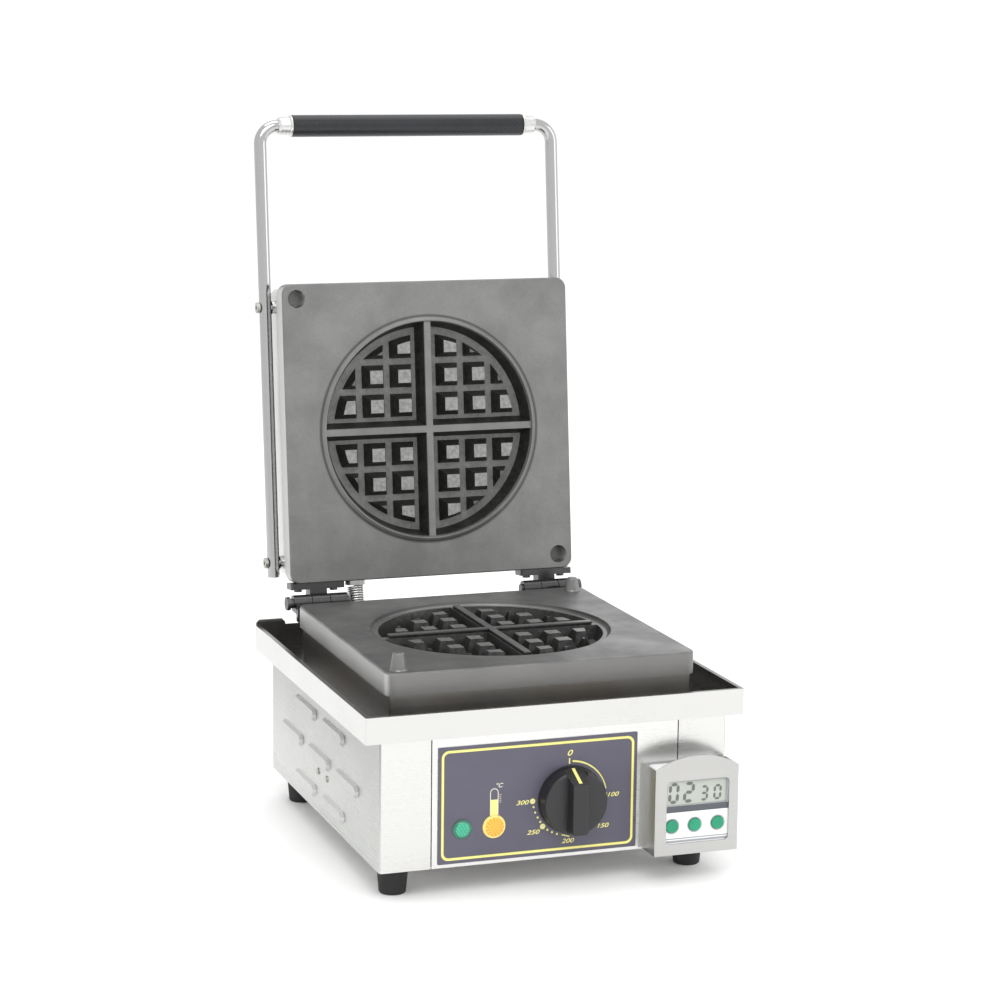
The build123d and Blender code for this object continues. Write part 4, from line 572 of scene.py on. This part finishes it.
# --------------------------------------------------- spiral conduit to the lid
def helix(name, a, b, radius, wire, pitch, mat):
    axis = b - a
    length = axis.length
    w = axis.normalized()
    u = Vector((1, 0, 0))
    v = w.cross(u)
    turns = length / pitch
    per, ring = 18, 8
    n = int(turns * per)
    bm = bmesh.new()
    rows = []
    for i in range(n + 1):
        t = i / n
        ang = 2 * math.pi * turns * t
        c = a + w * (length * t) + (u * math.cos(ang) + v * math.sin(ang)) * radius
        out = u * math.cos(ang) + v * math.sin(ang)
        row = []
        for k in range(ring):
            q = 2 * math.pi * k / ring
            row.append(bm.verts.new(c + out * (wire * math.cos(q)) + w * (wire * 1.12 * math.sin(q))))
        rows.append(row)
    for i in range(n):
        for k in range(ring):
            j = (k + 1) % ring
            bm.faces.new((rows[i][k], rows[i][j], rows[i + 1][j], rows[i + 1][k]))
    bm.faces.new(rows[0])
    bm.faces.new(list(reversed(rows[-1])))
    bmesh.ops.recalc_face_normals(bm, faces=bm.faces)
    me = bpy.data.meshes.new(name)
    bm.to_mesh(me)
    bm.free()
    me.polygons.foreach_set("use_smooth", [True] * len(me.polygons))
    me.materials.append(mat.m)
    o = bpy.data.objects.new(name, me)
    scene.collection.objects.link(o)
    return o


c0 = Vector((-67.5, 138.8 + DY, 121.4)) * MM
c1 = Vector((-67.5 * MM, 0, 0)) + LID0 + UP * (-5.2 * MM) - OUT * (8.75 * MM)
coil = helix("conduit_spiral", c0, c1, 6.4 * MM, 0.85 * MM, 2.05 * MM, satin)
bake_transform(coil)
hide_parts("lid_conduit")

# ------------------------------------------------------------- floor and light
bpy.ops.mesh.primitive_plane_add(size=600, location=(0, 0, 0))
floor = bpy.context.object
floor.name = "floor"
fm = Mat("floor", (0.97, 0.97, 0.965), rough=0.8, spec=0.1)
fm.color(fm.mix(fm.remap(fm.noise(3, 2), 0.3, 0.7), (0.965, 0.965, 0.962), (0.975, 0.975, 0.972)))
floor.data.materials.append(fm.m)

world = bpy.data.worlds.new("studio")
scene.world = world
world.use_nodes = True
wt = world.node_tree
bg = wt.nodes["Background"]
sky = wt.nodes.new("ShaderNodeTexCoord")
sep = wt.nodes.new("ShaderNodeSeparateXYZ")
ramp = wt.nodes.new("ShaderNodeMapRange")
ramp.inputs["From Min"].default_value = -1.0
ramp.inputs["From Max"].default_value = 0.2
ramp.inputs["To Min"].default_value = 0.94
ramp.inputs["To Max"].default_value = 1.0
wt.links.new(sky.outputs["Generated"], sep.inputs[0])
wt.links.new(sep.outputs["X"], ramp.inputs["Value"])
wt.links.new(ramp.outputs["Result"], bg.inputs["Color"])
bg.inputs["Strength"].default_value = 1.08


def area(name, loc, target, size, power, color=(1, 1, 1)):
    li = bpy.data.lights.new(name, "AREA")
    li.shape = "RECTANGLE"
    li.size, li.size_y = size
    li.energy = power
    li.color = color
    o = bpy.data.objects.new(name, li)
    scene.collection.objects.link(o)
    o.location = loc
    o.rotation_euler = (Vector(target) - Vector(loc)).to_track_quat("-Z", "Y").to_euler()
    return o


area("key", (-0.6, -2.0, 2.2), (0, 0, 0.2), (1.8, 1.2), 26)
area("fill", (2.2, -1.0, 1.2), (0, 0, 0.2), (1.4, 1.6), 10)
area("top", (0, 0.4, 2.6), (0, 0, 0.2), (2.0, 2.0), 16)

# --------------------------------------------------------------------- camera
yaw, pitch, roll = (math.radians(v) for v in (19.75, 10.45, 0.67))
fwd = Vector((math.sin(yaw) * math.cos(pitch), math.cos(yaw) * math.cos(pitch), -math.sin(pitch)))
right = Vector((math.cos(yaw), -math.sin(yaw), 0))
upv = right.cross(fwd)
r0 = right * math.cos(roll) + upv * math.sin(roll)
u0 = -right * math.sin(roll) + upv * math.cos(roll)
cam_data = bpy.data.cameras.new("camera")
cam_data.sensor_fit = "HORIZONTAL"
cam_data.sensor_width = 36.0
cam_data.lens = 36.0 * 2.788
cam_data.clip_start = 0.05
cam_data.clip_end = 2000
cam = bpy.data.objects.new("camera", cam_data)
scene.collection.objects.link(cam)
m = Matrix((r0, u0, -fwd)).transposed().to_4x4()
m.translation = Vector((-0.73115, -2.08376, 0.67572))
cam.matrix_world = m
scene.camera = cam
